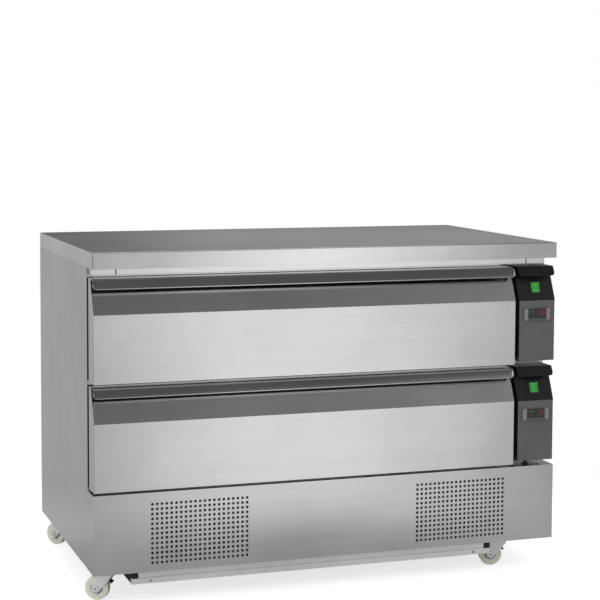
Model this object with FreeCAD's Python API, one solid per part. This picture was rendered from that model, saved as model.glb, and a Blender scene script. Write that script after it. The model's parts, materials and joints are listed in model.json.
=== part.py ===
"""Refrigerated drawer unit: two drawers under a worktop, on four small castors.

Millimetres. +Z up, the drawers open towards -Y, and the floor is at Z = 0.
While it is built, X counts from the left side, Y from the front edge of the worktop.
At the end all is moved so that the origin is on the floor under the middle of the unit.
"""
import FreeCAD
import Part
import math
import os
from FreeCAD import Vector

# Overall sizes of the casing
width = 1225.0
depth = 700.0
sheet = 1.2

# Heights, from the floor up
panel_height = 195.0
panel_gap = 6.0
front_height = 252.0
drawer_gap = 10.5
rail_gap = 7.0
rail_height = 17.5
worktop_edge = 40.0

# Worktop
worktop_round = 2.5
board_thickness = 18.0
board_gap = 1.0

# Depths of what stands in front of the cabinet
face_setback = 3.0
front_thickness = 57.0
seal_thickness = 9.7
seal_gap = 0.3
frame_thickness = 2.0
rail_reach = 26.0
rail_side_gap = 4.0
rail_slit_inset = 66.0
rail_slit = 2.0
rail_slit_depth = 5.0
side_flange = 14.0
flange_gap = 0.5

# Insulated cabinet
wall = 50.0
floor_slab = 45.0
control_strip = 105.0
liner_sheet = 1.0
opening_low = 24.0
opening_drop = 22.0

# Drawer fronts
front_side_gap = 2.0
front_module_gap = 10.0
slope_drop = 85.5
slope_run = 37.0
lip_drop = 23.0
lip_lean = 13.0
lip_setback = 1.0
lip_sheet = 1.6
lip_hem = 1.6
lip_corner = 10.0
lip_back_gap = 2.0
seal_width = 16.0
seal_lap = 3.0

# Drawer boxes and their slides
slide_space = 12.5
box_low = 34.0
box_height = 110.0
box_back_gap = 45.0
box_sheet = 1.2
box_rim = 12.0
slide_height = 45.0
slide_low = 57.0
slide_sheet = 1.2
slide_front = 4.0
slide_back_gap = 34.0
middle_short = 20.0
inner_short = 12.5
middle_height = 39.0
middle_depth = 6.5
middle_off = 2.5
inner_height = 30.0
inner_depth = 7.0

# Control modules
module_gap = 1.0
module_low = 8.0
module_over = 2.0
module_wall = 2.5
plate_thickness = 1.5
plate_edge = 0.8
bezel_width = 80.0
bezel_height = 34.0
bezel_proud = 2.0
bezel_drop = 36.5
meter_width = 71.0
meter_height = 29.0
meter_depth = 56.0
cut_gap = 0.25
window_width = 49.0
window_height = 25.0
window_rise = 2.5
window_depth = 1.5
window_sink = 0.3
switch_centre = 32.0
switch_width = 31.0
switch_height = 35.0
switch_flange = 2.0
switch_body_width = 27.0
switch_body_height = 31.0
switch_body_depth = 20.0
pad_width = 22.0
pad_height = 26.0
pad_proud = 4.0
pad_dish = 2.8
pad_back = 4.5
pad_gap = 0.35
pad_tilt = 8.0
pad_pin = 1.5
pad_pin_reach = 1.5
pin_fit = 0.05
conduit_inset = 68.0
conduit_radius = 5.0
conduit_behind = 27.0
conduit_reach = 60.0
conduit_nut = 9.0

# Lower front panel and its holes
vent_columns = 21
vent_rows = 13
vent_pitch = 12.0
vent_hole = 7.0
vent_inset = 265.0
vent_low = 22.0
panel_return = 17.0

# Back panel
slot_count = 12
slot_pitch = 14.0
slot_height = 5.0
slot_width = 150.0
slot_low = 25.0
gland_inset = 90.0
gland_rise = 60.0
gland_radius = 8.0
gland_flange = 13.0
gland_reach = 9.0
gland_bore = 4.0

# Chassis and base tray
beam_height = 25.0
beam_sheet = 2.0
side_beam = 74.0
cross_beam = 30.0
unit_beam_gap = 8.0
unit_beam = 44.0
beam_side_gap = 1.0
beam_reach = 14.0
tray_left = 97.0
tray_right = 66.0
tray_step_left = 17.0
tray_step_right = 18.0
tray_drop = 33.0
bar_height = 14.0
bar_depth = 12.0
bar_groove = 2.4
bar_groove_depth = 3.0
tray_back_inset = 80.0
pad_block_height = 14.0
side_pad_depth = 260.0

# Condensing units
condenser_width = 250.0
unit_top_gap = 9.0
condenser_depth = 38.0
fin_count = 40
fin_thickness = 1.0
tube_rows = 6
tube_radius = 4.0
tube_bend_reach = 8.0
shroud_depth = 30.0
shroud_sheet = 1.5
fan_rim = 5.0
fan_collar = 18.0
fan_tip_gap = 4.0
fan_hub = 18.0
fan_blades = 5
fan_blade_width = 34.0
fan_blade_sheet = 1.6
fan_blade_angle = 28.0
fan_hub_length = 12.0
fan_hub_lift = 3.0
motor_radius = 28.0
motor_length = 42.0
bearing_depth = 20.0
shaft_end_gap = 11.0
motor_arm = 8.0
shaft_radius = 3.0
compressor_radius = 72.0
compressor_height = 158.0
compressor_dome = 42.0
compressor_shell = 3.5
compressor_behind = 330.0
foot_height = 12.0
foot_radius = 11.0
foot_plate = 3.0
foot_spread = 62.0
pipe_radius = 4.0
pipe_bend = 22.0
pipe_hole_gap = 0.5
upper_riser = 65.0
lower_riser = 31.0
upper_line_drop = 32.0
lower_line_drop = 22.0

# Evaporators
evaporator_side_gap = 80.0
evaporator_height = 130.0
evaporator_sheet = 2.0
evaporator_low = 62.0
evaporator_gap = 6.0
channel_runs = 6
channel_width = 8.0
channel_height = 2.5

# Castors
castor_setback = 75.0
wheel_radius = 30.0
wheel_width = 20.0
wheel_round = 3.0
tread_inner = 20.0
hub_boss = 9.0
hub_width = 17.0
castor_trail = 22.0
axle_radius = 4.0
axle_head = 7.0
axle_head_length = 4.0
fork_play = 3.0
fork_sheet = 2.5
fork_lead = 18.0
fork_lag = 9.0
fork_end = 11.0
fork_notch = 10.0
fork_notch_drop = 4.4
crown_gap = 4.0
crown_radius = 20.0
race_radius = 20.5
race_gap = 0.3
race_height = 6.5
lower_race_height = 4.2
king_pin = 5.0
king_head = 8.0
king_head_height = 3.0
castor_plate = 60.0
castor_plate_sheet = 2.5
bolt_spread = 22.0
bolt_head = 5.0
bolt_head_height = 3.0
side_play = 0.3
pedal_back = 8.0
pedal_drop = 14.0
pedal_length = 20.0
pedal_sheet = 3.0
pedal_width = 20.0
pedal_tip = 8.0
pedal_pin = 2.5
pedal_boss = 4.5
pedal_up = -25.0
pedal_down = -60.0
heading_front_left = 148.0
heading_front_right = 165.0
heading_back_left = 130.0
heading_back_right = 75.0

# Small screws
screw_radius = 3.5
screw_head = 1.8
bar_screw_inset = 47.0
back_screw_inset = 12.0

# How far a cutting shape reaches past what it cuts, and how near counts as touching
past = 1.0
near = 0.01

AXIS_X = Vector(1, 0, 0)
AXIS_Y = Vector(0, 1, 0)
AXIS_Z = Vector(0, 0, 1)

# Levels and planes worked out from the sizes above
crown_low = 2 * wheel_radius + crown_gap
crown_high = crown_low + fork_sheet
lower_race_top = crown_high + lower_race_height
plate_low = lower_race_top + race_gap + race_height
castor_height = plate_low + castor_plate_sheet
pedal_rise = crown_low - pedal_drop
fork_gap = wheel_width / 2 + fork_play
body_low = castor_height
panel_top = body_low + panel_height
lower_front = panel_top + panel_gap
upper_front = lower_front + front_height + drawer_gap
rail_low = upper_front + front_height + rail_gap
worktop_low = rail_low + rail_height
worktop_top = worktop_low + worktop_edge
face = face_setback
front_back = face + front_thickness
frame_plane = front_back + seal_thickness + seal_gap
break_height = front_height - slope_drop
opening_high = front_height - opening_drop
bezel_centre = break_height - bezel_drop
cabinet_right = width - control_strip
cavity_left = wall
cavity_right = cabinet_right - wall
cavity_front = frame_plane + frame_thickness
cavity_back = depth - wall
front_left = front_side_gap
front_right = cabinet_right - front_module_gap
skin_height = front_height - lip_sheet
box_left = cavity_left + liner_sheet + slide_space
box_right = cavity_right - liner_sheet - slide_space
box_depth = cavity_back - box_back_gap - front_back
slide_length = cavity_back - slide_back_gap - cavity_front - slide_front
module_left = cabinet_right + module_gap
module_right = width - front_side_gap
module_middle = (module_left + module_right) / 2
slope_rise = skin_height - break_height
slope_angle = math.degrees(math.atan2(slope_run, slope_rise))
tray_low = body_low - tray_drop
beam_inset = face + panel_return
unit_beam_front = beam_inset + cross_beam + unit_beam_gap
unit_floor = body_low + beam_height
cabinet_floor = lower_front + opening_low - floor_slab
left_beam_start = sheet + beam_side_gap
left_beam_end = left_beam_start + side_beam
right_beam_end = cabinet_right + beam_reach
right_beam_start = right_beam_end - side_beam
castor_left = left_beam_end - castor_plate / 2
castor_right = right_beam_end - castor_plate / 2
condenser_height = cabinet_floor - unit_top_gap - unit_floor
fan_hole = condenser_height / 2 - fan_rim
left_unit = vent_inset
right_unit = width - vent_inset
shroud_front = unit_beam_front + condenser_depth
fan_plane = shroud_front + shroud_depth
fan_height = unit_floor + condenser_height / 2
drawers = {"lower": lower_front, "upper": upper_front}
units = {"left": left_unit, "right": right_unit}


def block(x0, x1, y0, y1, z0, z1):
    """A box between two corners."""
    return Part.makeBox(x1 - x0, y1 - y0, z1 - z0, Vector(x0, y0, z0))


def rod(radius, start, length, axis):
    """A round bar from a point, along an axis."""
    return Part.makeCylinder(radius, length, Vector(*start), axis)


def prism(outline, x0, x1):
    """An outline of (Y, Z) points carried along X."""
    points = [Vector(x0, y, z) for y, z in outline]
    face_shape = Part.Face(Part.makePolygon(points + points[:1]))
    return face_shape.extrude(Vector(x1 - x0, 0, 0))


def side_prism(outline, y0, y1):
    """An outline of (X, Z) points carried along Y."""
    points = [Vector(x, y0, z) for x, z in outline]
    face_shape = Part.Face(Part.makePolygon(points + points[:1]))
    return face_shape.extrude(Vector(0, y1 - y0, 0))


def joined(shapes):
    """Touching shapes as one solid."""
    return shapes[0].multiFuse(shapes[1:]).removeSplitter()


def group(shapes):
    """Separate solids in one node."""
    return Part.makeCompound(shapes)


def edges_where(shape, test):
    """The straight edges whose middle passes a test."""
    return [edge for edge in shape.Edges if test(edge.CenterOfMass, edge)]


def runs_along(edge, axis):
    """True for an edge parallel to an axis."""
    way = edge.Vertexes[-1].Point - edge.Vertexes[0].Point
    return way.Length > near and way.cross(axis).Length < near


def round_rims(shape, radius):
    """The full circles of a radius."""
    return [edge for edge in shape.Edges if abs(edge.Length - 2 * math.pi * radius) < near]


def parted(shape, regions):
    """A shape as separate solids that meet face to face, one for each box-shaped region."""
    return group([shape.common(block(*region)) for region in regions])


def mirrored_x(shape, middle):
    """The same shape on the other side of an X."""
    return shape.mirror(Vector(middle, 0, 0), AXIS_X)


# Worktop and casing


def make_worktop():
    """A tray of sheet turned upside down, with soft top edges."""
    top = block(0, width, 0, depth, worktop_low, worktop_top)
    upper = edges_where(top, lambda middle, edge: middle.z > worktop_top - near)
    corners = edges_where(top, lambda middle, edge: runs_along(edge, AXIS_Z))
    top = top.makeFillet(worktop_round, upper + corners)
    hollow = block(sheet, width - sheet, sheet, depth - sheet, worktop_low, worktop_top - sheet)
    return top.cut(hollow)


def make_worktop_board():
    """The board that stiffens the top sheet."""
    edge = sheet + board_gap
    high = worktop_top - sheet
    return block(edge, width - edge, edge, depth - edge, high - board_thickness, high)


def make_left_side():
    """The outer sheet of the left side, with a turned edge at the front."""
    skin = block(0, sheet, frame_plane, depth, body_low, worktop_low)
    flange = block(0, side_flange, frame_plane, frame_plane + sheet, panel_top, worktop_low)
    return joined([skin, flange])


def make_back_panel():
    """The back sheet, with slots for the air of both condensing units and the gland's hole."""
    panel = block(sheet, width - sheet, depth - sheet, depth, body_low, worktop_low)
    cuts = []
    for middle in units.values():
        for row in range(slot_count):
            low = body_low + slot_low + row * slot_pitch
            cuts.append(block(middle - slot_width / 2, middle + slot_width / 2,
                              depth - 2 * sheet, depth + sheet, low, low + slot_height))
    hole = rod(gland_radius, (width - gland_inset, depth - 2 * sheet, body_low + gland_rise),
               3 * sheet, AXIS_Y)
    return panel.cut(group(cuts + [hole]))


def make_insulation():
    """Foam slabs round the two drawer spaces."""
    left = sheet
    back = depth - sheet
    front = cavity_front
    cavity_low = lower_front + opening_low
    shelf_low = lower_front + opening_high
    shelf_high = upper_front + opening_low
    cavity_high = upper_front + opening_high
    roof_high = worktop_top - sheet - board_thickness
    right_wall = block(cavity_right, cabinet_right, front, back, cavity_low, cavity_high)
    for low in drawers.values():
        right_wall = right_wall.cut(pipe_way(low, pipe_radius + pipe_hole_gap))
    return group([
        block(left, cabinet_right, front, back, cabinet_floor, cavity_low),
        block(left, cabinet_right, front, back, cavity_high, roof_high),
        block(left, cavity_left, front, back, cavity_low, cavity_high),
        right_wall,
        block(cavity_left, cavity_right, cavity_back, back, cavity_low, cavity_high),
        block(cavity_left, cavity_right, front, cavity_back, shelf_low, shelf_high),
    ])


def make_liners():
    """A thin box without a front in each drawer space."""
    liners = []
    for low in drawers.values():
        outer = block(cavity_left, cavity_right, cavity_front, cavity_back,
                      low + opening_low, low + opening_high)
        inner = block(cavity_left + liner_sheet, cavity_right - liner_sheet,
                      cavity_front - past, cavity_back - liner_sheet,
                      low + opening_low + liner_sheet, low + opening_high - liner_sheet)
        hole = pipe_way(low, pipe_radius + pipe_hole_gap)
        liners.append(outer.cut(inner).cut(hole))
    return group(liners)


def make_front_frame():
    """The plate with both openings, and the rail above the drawers."""
    left = side_flange + flange_gap
    right = width - side_flange - flange_gap
    plate = block(left, right, frame_plane, cavity_front, panel_top, worktop_low)
    for low in drawers.values():
        plate = plate.cut(block(cavity_left, cavity_right, frame_plane - past, cavity_front + past,
                                low + opening_low, low + opening_high))
    rail_front = frame_plane - rail_reach
    rail = block(rail_side_gap, right, rail_front, frame_plane, rail_low, worktop_low)
    frame = joined([plate, rail])
    for middle in (rail_slit_inset, right - rail_slit_inset + side_flange):
        frame = frame.cut(block(middle - rail_slit / 2, middle + rail_slit / 2,
                                rail_front - past, rail_front + rail_slit_depth,
                                rail_low - past, worktop_low - sheet))
    return frame


def make_lower_panel():
    """The perforated sheet, with its ends, its bottom edge and its top edge turned back."""
    back = frame_plane - flange_gap
    outer = block(0, width, face, back, body_low, panel_top)
    inner = block(sheet, width - sheet, face + sheet, back + past, body_low + sheet, panel_top - sheet)
    under = block(sheet, width - sheet, face + panel_return, back + past,
                  body_low - past, body_low + 2 * sheet)
    panel = outer.cut(inner).cut(under)
    holes = []
    for middle in units.values():
        for column in range(vent_columns):
            x = middle + (column - (vent_columns - 1) / 2) * vent_pitch
            for row in range(vent_rows):
                z = body_low + vent_low + row * vent_pitch
                holes.append(rod(vent_hole / 2, (x, face - past, z), sheet + 2 * past, AXIS_Y))
    holes.append(rod(conduit_radius + flange_gap, (width - conduit_inset, face + conduit_behind,
                                                   panel_top - 2 * sheet), 3 * sheet, AXIS_Z))
    low = body_low + sheet
    high = panel_top - sheet
    middle = face + sheet
    right = width - sheet
    return parted(panel.cut(group(holes)), [
        (0, width, face, middle, body_low, panel_top),
        (0, sheet, middle, back, body_low, panel_top),
        (right, width, middle, back, body_low, panel_top),
        (sheet, right, middle, back, body_low, low),
        (sheet, right, middle, back, high, panel_top),
    ])


# Drawer parts


def front_outline(low, inset, back):
    """The side outline of a drawer front, moved inwards by a sheet where asked.

    It goes up the face to the break, back along the slope to the top, and along the top.
    """
    length = math.hypot(slope_run, slope_rise)
    along_y = slope_run / length
    along_z = slope_rise / length
    start_y = face + inset * along_z
    start_z = low + break_height - inset * along_y
    to_face = (face + inset - start_y) / along_y
    to_top = (low + skin_height - inset - start_z) / along_z
    return [
        (face + inset, low + inset),
        (face + inset, start_z + to_face * along_z),
        (start_y + to_top * along_y, low + skin_height - inset),
        (back, low + skin_height - inset),
        (back, low + inset),
    ]


def lip_shape(low, left, right, over):
    """The rail along the top of a front: a flat top strip, and a leaning face with a rolled hem."""
    top = low + front_height + over
    lip_top = face + lip_setback + lip_lean
    lip_low = face + lip_setback
    flange = block(left, right, lip_top, front_back - lip_back_gap, top - lip_sheet, top)
    hem_z = top - lip_drop
    leaning = prism([
        (lip_top, top),
        (lip_low, hem_z),
        (lip_low + lip_sheet, hem_z),
        (lip_top + lip_sheet, top),
    ], left, right)
    hem = rod(lip_hem, (left, lip_low + lip_hem, hem_z), right - left, AXIS_X)
    grip = joined([leaning, hem])
    mask = block(left, right, face - lip_hem, front_back, hem_z - lip_hem, top + past)
    low_corners = edges_where(
        mask, lambda middle, edge: runs_along(edge, AXIS_Y) and middle.z < hem_z)
    return [flange.cut(grip), grip.common(mask.makeFillet(lip_corner, low_corners))]


def make_front_skin(low):
    """The folded sheet that is the face, the slope, the ends, top and bottom of a front."""
    outer = prism(front_outline(low, 0, front_back), front_left, front_right)
    inner = prism(front_outline(low, sheet, front_back + past), front_left + sheet, front_right - sheet)
    return outer.cut(inner)


def make_front_core(low):
    """The foam in a drawer front."""
    outline = front_outline(low, sheet, front_back - sheet)
    return prism(outline, front_left + sheet, front_right - sheet)


def make_inner_panel(low):
    """The sheet that closes a drawer front at the back."""
    return block(front_left + sheet, front_right - sheet, front_back - sheet, front_back,
                 low + sheet, low + skin_height - sheet)


def make_seal(low):
    """The soft seal round the back of a drawer front."""
    border = seal_lap + seal_width
    left = cavity_left - border
    right = cavity_right + border
    bottom = low + opening_low - border
    top = low + opening_high + border
    outer = block(left, right, front_back, front_back + seal_thickness, bottom, top)
    inner = block(left + seal_width, right - seal_width, front_back - past, frame_plane + past,
                  bottom + seal_width, top - seal_width)
    return outer.cut(inner)


def make_box(low):
    """The open box that carries the pans: a bottom, and four sides with a rim turned inwards."""
    bottom = low + box_low
    top = bottom + box_height
    back = front_back + box_depth
    outer = block(box_left, box_right, front_back, back, bottom, top)
    inner = block(box_left + box_sheet, box_right - box_sheet, front_back + box_sheet,
                  back - box_sheet, bottom + box_sheet, top - box_sheet)
    mouth = block(box_left + box_rim, box_right - box_rim, front_back + box_rim,
                  back - box_rim, top - 2 * box_sheet, top + past)
    floor = bottom + box_sheet
    left = box_left + box_rim
    right = box_right - box_rim
    return parted(outer.cut(inner).cut(mouth), [
        (box_left, box_right, front_back, back, bottom, floor),
        (box_left, left, front_back, back, floor, top),
        (right, box_right, front_back, back, floor, top),
        (left, right, front_back, front_back + box_rim, floor, top),
        (left, right, back - box_rim, back, floor, top),
    ])


def channel(x0, x1, y0, y1, middle, height, web_left):
    """A folded channel along Y, open to one side."""
    low = middle - height / 2
    high = middle + height / 2
    inner_low = low + slide_sheet
    inner_high = high - slide_sheet
    outer = block(x0, x1, y0, y1, low, high)
    if web_left:
        cut = block(x0 + slide_sheet, x1 + past, y0 - past, y1 + past, inner_low, inner_high)
    else:
        cut = block(x0 - past, x1 - slide_sheet, y0 - past, y1 + past, inner_low, inner_high)
    return outer.cut(cut)


def pair(shape):
    """A piece at the left of the drawer box and its mirror image at the right."""
    return [shape, mirrored_x(shape, (cavity_left + cavity_right) / 2)]


def slide_middle(low):
    """The height of a drawer's slides."""
    return low + slide_low + slide_height / 2


def cabinet_runner(low):
    """The outer member of a slide, on the liner."""
    left = cavity_left + liner_sheet
    front = cavity_front + slide_front
    reach = slide_space - 2 * slide_sheet
    return channel(left, left + reach, front, front + slide_length, slide_middle(low), slide_height, True)


def middle_runner(low):
    """The middle member, which travels half as far as the drawer."""
    left = cavity_left + liner_sheet + middle_off
    front = cavity_front + slide_front
    return channel(left, left + middle_depth, front, front + slide_length - middle_short, slide_middle(low),
                   middle_height, True)


def inner_runner(low):
    """The inner member, on the side of the drawer box."""
    front = cavity_front + slide_front
    return channel(box_left - inner_depth, box_left, front, front + slide_length - inner_short,
                   slide_middle(low), inner_height, False)


# Control modules


def make_housing(low):
    """The black casing of a control module, with its own lip and the cut-outs."""
    left = module_left
    right = module_right
    outline = front_outline(low, 0, frame_plane)
    outline[0] = (face + plate_thickness, low + module_low)
    outline[1] = (face + plate_thickness, low + break_height)
    outline.insert(2, (face, low + break_height))
    outline[-1] = (frame_plane, low + module_low)
    outer = prism(outline, left, right)
    cavity = front_outline(low, module_wall, frame_plane + past)
    cavity[0] = (face + plate_thickness + module_wall, low + module_low + module_wall)
    cavity[1] = (face + plate_thickness + module_wall, cavity[1][1])
    cavity[-1] = (frame_plane + past, low + module_low + module_wall)
    inner = prism(cavity, left + module_wall, right - module_wall)
    body = joined([outer, cap_strip(low)] + lip_shape(low, left, right, module_over)).cut(inner)
    meter = meter_cut(low, face - past, face + plate_thickness + module_wall + past)
    return body.cut(meter).cut(on_slope(switch_cut(), low))


def cap_strip(low):
    """The strip that closes the top of a housing under its lip."""
    y0 = face + slope_run
    top = low + front_height + module_over
    return block(module_left, module_right, y0, frame_plane, low + skin_height - module_wall, top)


def meter_cut(low, y0, y1):
    """The rectangular way for a thermostat's body."""
    half = meter_width / 2 + cut_gap
    rise = meter_height / 2 + cut_gap
    middle = low + bezel_centre
    return block(module_middle - half, module_middle + half, y0, y1, middle - rise, middle + rise)


def on_slope(shape, low):
    """Put a piece built at the origin, facing -Y, on the slope of a module."""
    up = switch_centre / math.cos(math.radians(slope_angle))
    placed = shape.copy()
    placed.rotate(Vector(0, 0, 0), AXIS_X, -slope_angle)
    shift_y = face + up * math.sin(math.radians(slope_angle))
    shift_z = low + break_height + up * math.cos(math.radians(slope_angle))
    placed.translate(Vector(module_middle, shift_y, shift_z))
    return placed


def switch_cut():
    """The way for the body of a rocker switch."""
    half = switch_body_width / 2 + cut_gap
    rise = switch_body_height / 2 + cut_gap
    return block(-half, half, -past, module_wall * 3, -rise, rise)


def make_control_plate(low):
    """The grey plate below the break, round the thermostat."""
    left = module_left + plate_edge
    right = module_right - plate_edge
    plate = block(left, right, face, face + plate_thickness,
                  low + module_low + plate_edge, low + break_height - plate_edge)
    return plate.cut(meter_cut(low, face - past, face + plate_thickness + past))


def make_thermostat(low):
    """The bezel and the body behind it, with a seat for the window."""
    middle = low + bezel_centre
    bezel = block(module_middle - bezel_width / 2, module_middle + bezel_width / 2,
                  face - bezel_proud, face, middle - bezel_height / 2, middle + bezel_height / 2)
    rims = edges_where(bezel, lambda centre, edge: runs_along(edge, AXIS_Y))
    bezel = bezel.makeFillet(bezel_proud, rims)
    body = block(module_middle - meter_width / 2, module_middle + meter_width / 2,
                 face, face + meter_depth, middle - meter_height / 2, middle + meter_height / 2)
    seat = window_block(middle, face - bezel_proud - past, face - bezel_proud + window_depth)
    return joined([bezel, body]).cut(seat)


def window_block(middle, y0, y1):
    """The space of a display window."""
    centre = middle + window_rise
    return block(module_middle - window_width / 2, module_middle + window_width / 2, y0, y1,
                 centre - window_height / 2, centre + window_height / 2)


def make_window(low):
    """The dark window over the digits."""
    front = face - bezel_proud
    return window_block(low + bezel_centre, front + window_sink, front + window_depth)


def make_switch_frame():
    """The frame and socket of a rocker switch, at the origin, facing -Y."""
    flange = block(-switch_width / 2, switch_width / 2, -switch_flange, 0,
                   -switch_height / 2, switch_height / 2)
    corners = edges_where(flange, lambda centre, edge: runs_along(edge, AXIS_Y))
    flange = flange.makeFillet(switch_flange, corners)
    body = block(-switch_body_width / 2, switch_body_width / 2, 0, switch_body_depth,
                 -switch_body_height / 2, switch_body_height / 2)
    reach = math.hypot(pad_height / 2, pad_proud + pad_back) + pad_gap
    way = block(-pad_width / 2 - pad_gap, pad_width / 2 + pad_gap, -switch_flange - past,
                switch_body_depth - module_wall, -reach, reach)
    limit = switch_body_height / 2 - sheet
    way = way.common(block(-switch_width, switch_width, -switch_width, switch_width, -limit, limit))
    pin_reach = pad_width / 2 + pad_pin_reach + pad_gap
    pins = rod(pad_pin + pin_fit, (-pin_reach, pad_back, 0), 2 * pin_reach, AXIS_X)
    return joined([flange, body]).cut(way).cut(pins)


def make_rocker():
    """The lit pad on its two pins, tipped to the on side, at the origin, facing -Y."""
    half = pad_height / 2
    outline = [
        (-pad_proud, half),
        (pad_dish - pad_proud, 0),
        (-pad_proud, -half),
        (pad_back, -half + pad_dish),
        (pad_back + pad_pin * 2, 0),
        (pad_back, half - pad_dish),
    ]
    pad = prism(outline, -pad_width / 2, pad_width / 2)
    pin_reach = pad_width / 2 + pad_pin_reach
    pins = rod(pad_pin, (-pin_reach, pad_back, 0), 2 * pin_reach, AXIS_X)
    rocker = joined([pad, pins])
    rocker.rotate(Vector(0, pad_back, 0), AXIS_X, pad_tilt)
    return rocker


def make_cable_fittings():
    """The conduit below the modules with its nut, and the gland for the mains lead."""
    x = width - conduit_inset
    y = face + conduit_behind
    bottom = panel_top - conduit_reach
    tube = rod(conduit_radius, (x, y, bottom), lower_front + module_low - bottom, AXIS_Z)
    bore = rod(conduit_radius - sheet, (x, y, bottom - past), conduit_reach * 2, AXIS_Z)
    nut = rod(conduit_nut, (x, y, panel_top), sheet * 2, AXIS_Z)
    conduit = joined([tube, nut]).cut(bore)
    gx = width - gland_inset
    gz = body_low + gland_rise
    start = depth - sheet - gland_reach
    outside = rod(gland_flange, (gx, start, gz), gland_reach, AXIS_Y)
    barrel = rod(gland_radius - pin_fit, (gx, start, gz), gland_reach + sheet, AXIS_Y)
    gland = joined([outside, barrel])
    gland = gland.cut(rod(gland_bore, (gx, start - past, gz), 3 * gland_reach, AXIS_Y))
    return group([conduit, gland])


# Chassis and machine compartment


def beam(x0, x1, y0, y1):
    """A rectangular tube with closed ends, on the level of the castors' plates."""
    low = body_low
    high = body_low + beam_height
    wall_in = beam_sheet
    outer = block(x0, x1, y0, y1, low, high)
    inner = block(x0 + wall_in, x1 - wall_in, y0 + wall_in, y1 - wall_in, low + wall_in, high - wall_in)
    return outer.cut(inner)


def make_chassis():
    """Two side beams that carry the castors, the cross beams, and the floor under the control strip."""
    front = beam_inset
    back = depth - beam_inset
    parts = [
        beam(left_beam_start, left_beam_end, front, back),
        beam(right_beam_start, right_beam_end, front, back),
    ]
    for y0, y1 in ((front, front + cross_beam), (unit_beam_front, unit_beam_front + unit_beam),
                   (back - cross_beam, back)):
        parts.append(beam(left_beam_end, right_beam_start, y0, y1))
    for y0 in (front, back - cross_beam):
        parts.append(beam(right_beam_end, width - sheet, y0, y0 + cross_beam))
    parts.append(block(right_beam_end, width - sheet, front + cross_beam, back - cross_beam,
                       body_low, body_low + sheet))
    return group(parts)


def make_base_tray():
    """The dropped pan that carries the compressors, with the bar along its front edge."""
    left = tray_left + tray_step_left
    right = cabinet_right - tray_right - tray_step_right
    front = beam_inset + bar_groove_depth
    back = depth - tray_back_inset
    walls = block(left, right, front, back, tray_low, body_low)
    hollow = block(left + sheet, right - sheet, front + sheet, back - sheet,
                   tray_low + sheet, body_low + past)
    face_strip = block(left, right, beam_inset, front, tray_low + bar_height + bar_groove, body_low)
    bar = block(tray_left, cabinet_right - tray_right, beam_inset, beam_inset + bar_depth,
                tray_low, tray_low + bar_height)
    bar_way = block(left + sheet, right - sheet, front + sheet, beam_inset + bar_depth + past,
                    tray_low + sheet, body_low)
    return joined([walls.cut(hollow), face_strip, bar.cut(bar_way)])


def make_tray_pads():
    """Black pads above the ends of the bar, and the one along the left of the pan."""
    left = tray_left + tray_step_left
    right = cabinet_right - tray_right - tray_step_right
    low = tray_low + bar_height
    high = low + pad_block_height
    bar_back = beam_inset + bar_depth
    end_pad = block(tray_left, left, beam_inset, bar_back, low, high)
    side_pad = block(tray_left, left, bar_back, bar_back + side_pad_depth, tray_low + sheet, high)
    right_pad = block(right, cabinet_right - tray_right, beam_inset, bar_back, low, high)
    return group([joined([end_pad, side_pad]), right_pad])


def make_condenser(middle):
    """Fins on rows of tube between two end plates."""
    low = unit_floor
    high = low + condenser_height
    x0 = middle - condenser_width / 2
    step = condenser_width / (fin_count - 1)
    y0 = unit_beam_front
    y1 = y0 + condenser_depth
    parts = []
    for number in range(fin_count):
        x = x0 + number * step
        parts.append(block(x - fin_thickness / 2, x + fin_thickness / 2, y0, y1, low, high))
    for row in range(tube_rows):
        z = low + condenser_height * (row + 0.5) / tube_rows
        parts.append(rod(tube_radius, (x0 - tube_bend_reach, (y0 + y1) / 2, z),
                         condenser_width + 2 * tube_bend_reach, AXIS_X))
    return joined(parts)


def make_fan_shroud(middle):
    """The shroud on the back of a condenser with its collar, arms and the fan's motor."""
    x0 = middle - condenser_width / 2
    x1 = middle + condenser_width / 2
    z0 = unit_floor
    z1 = unit_floor + condenser_height
    y0 = shroud_front
    hood = block(x0, x1, y0, fan_plane, z0, z1)
    inside = block(x0 + shroud_sheet, x1 - shroud_sheet, y0 - past, fan_plane - shroud_sheet,
                   z0 + shroud_sheet, z1 - shroud_sheet)
    ring = rod(fan_hole + shroud_sheet, (middle, fan_plane - shroud_sheet, fan_height),
               fan_collar + shroud_sheet, AXIS_Y)
    hole = rod(fan_hole, (middle, fan_plane - 2 * shroud_sheet, fan_height), fan_collar * 3, AXIS_Y)
    collar_end = fan_plane + fan_collar
    arms = []
    half = motor_arm / 2
    for turn in (90, 210, 330):
        arm = block(motor_radius - motor_arm, fan_hole + shroud_sheet, collar_end, collar_end + half,
                    -half, half)
        arm.rotate(Vector(0, 0, 0), AXIS_Y, turn)
        arm.translate(Vector(middle, 0, fan_height))
        arms.append(arm)
    motor = rod(motor_radius, (middle, collar_end, fan_height), motor_length, AXIS_Y)
    bearing = rod(shaft_radius + pin_fit, (middle, collar_end - past, fan_height),
                  bearing_depth + past, AXIS_Y)
    shell = joined([hood.cut(inside), ring]).cut(hole)
    return joined([shell, motor] + arms).cut(bearing)


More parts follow.
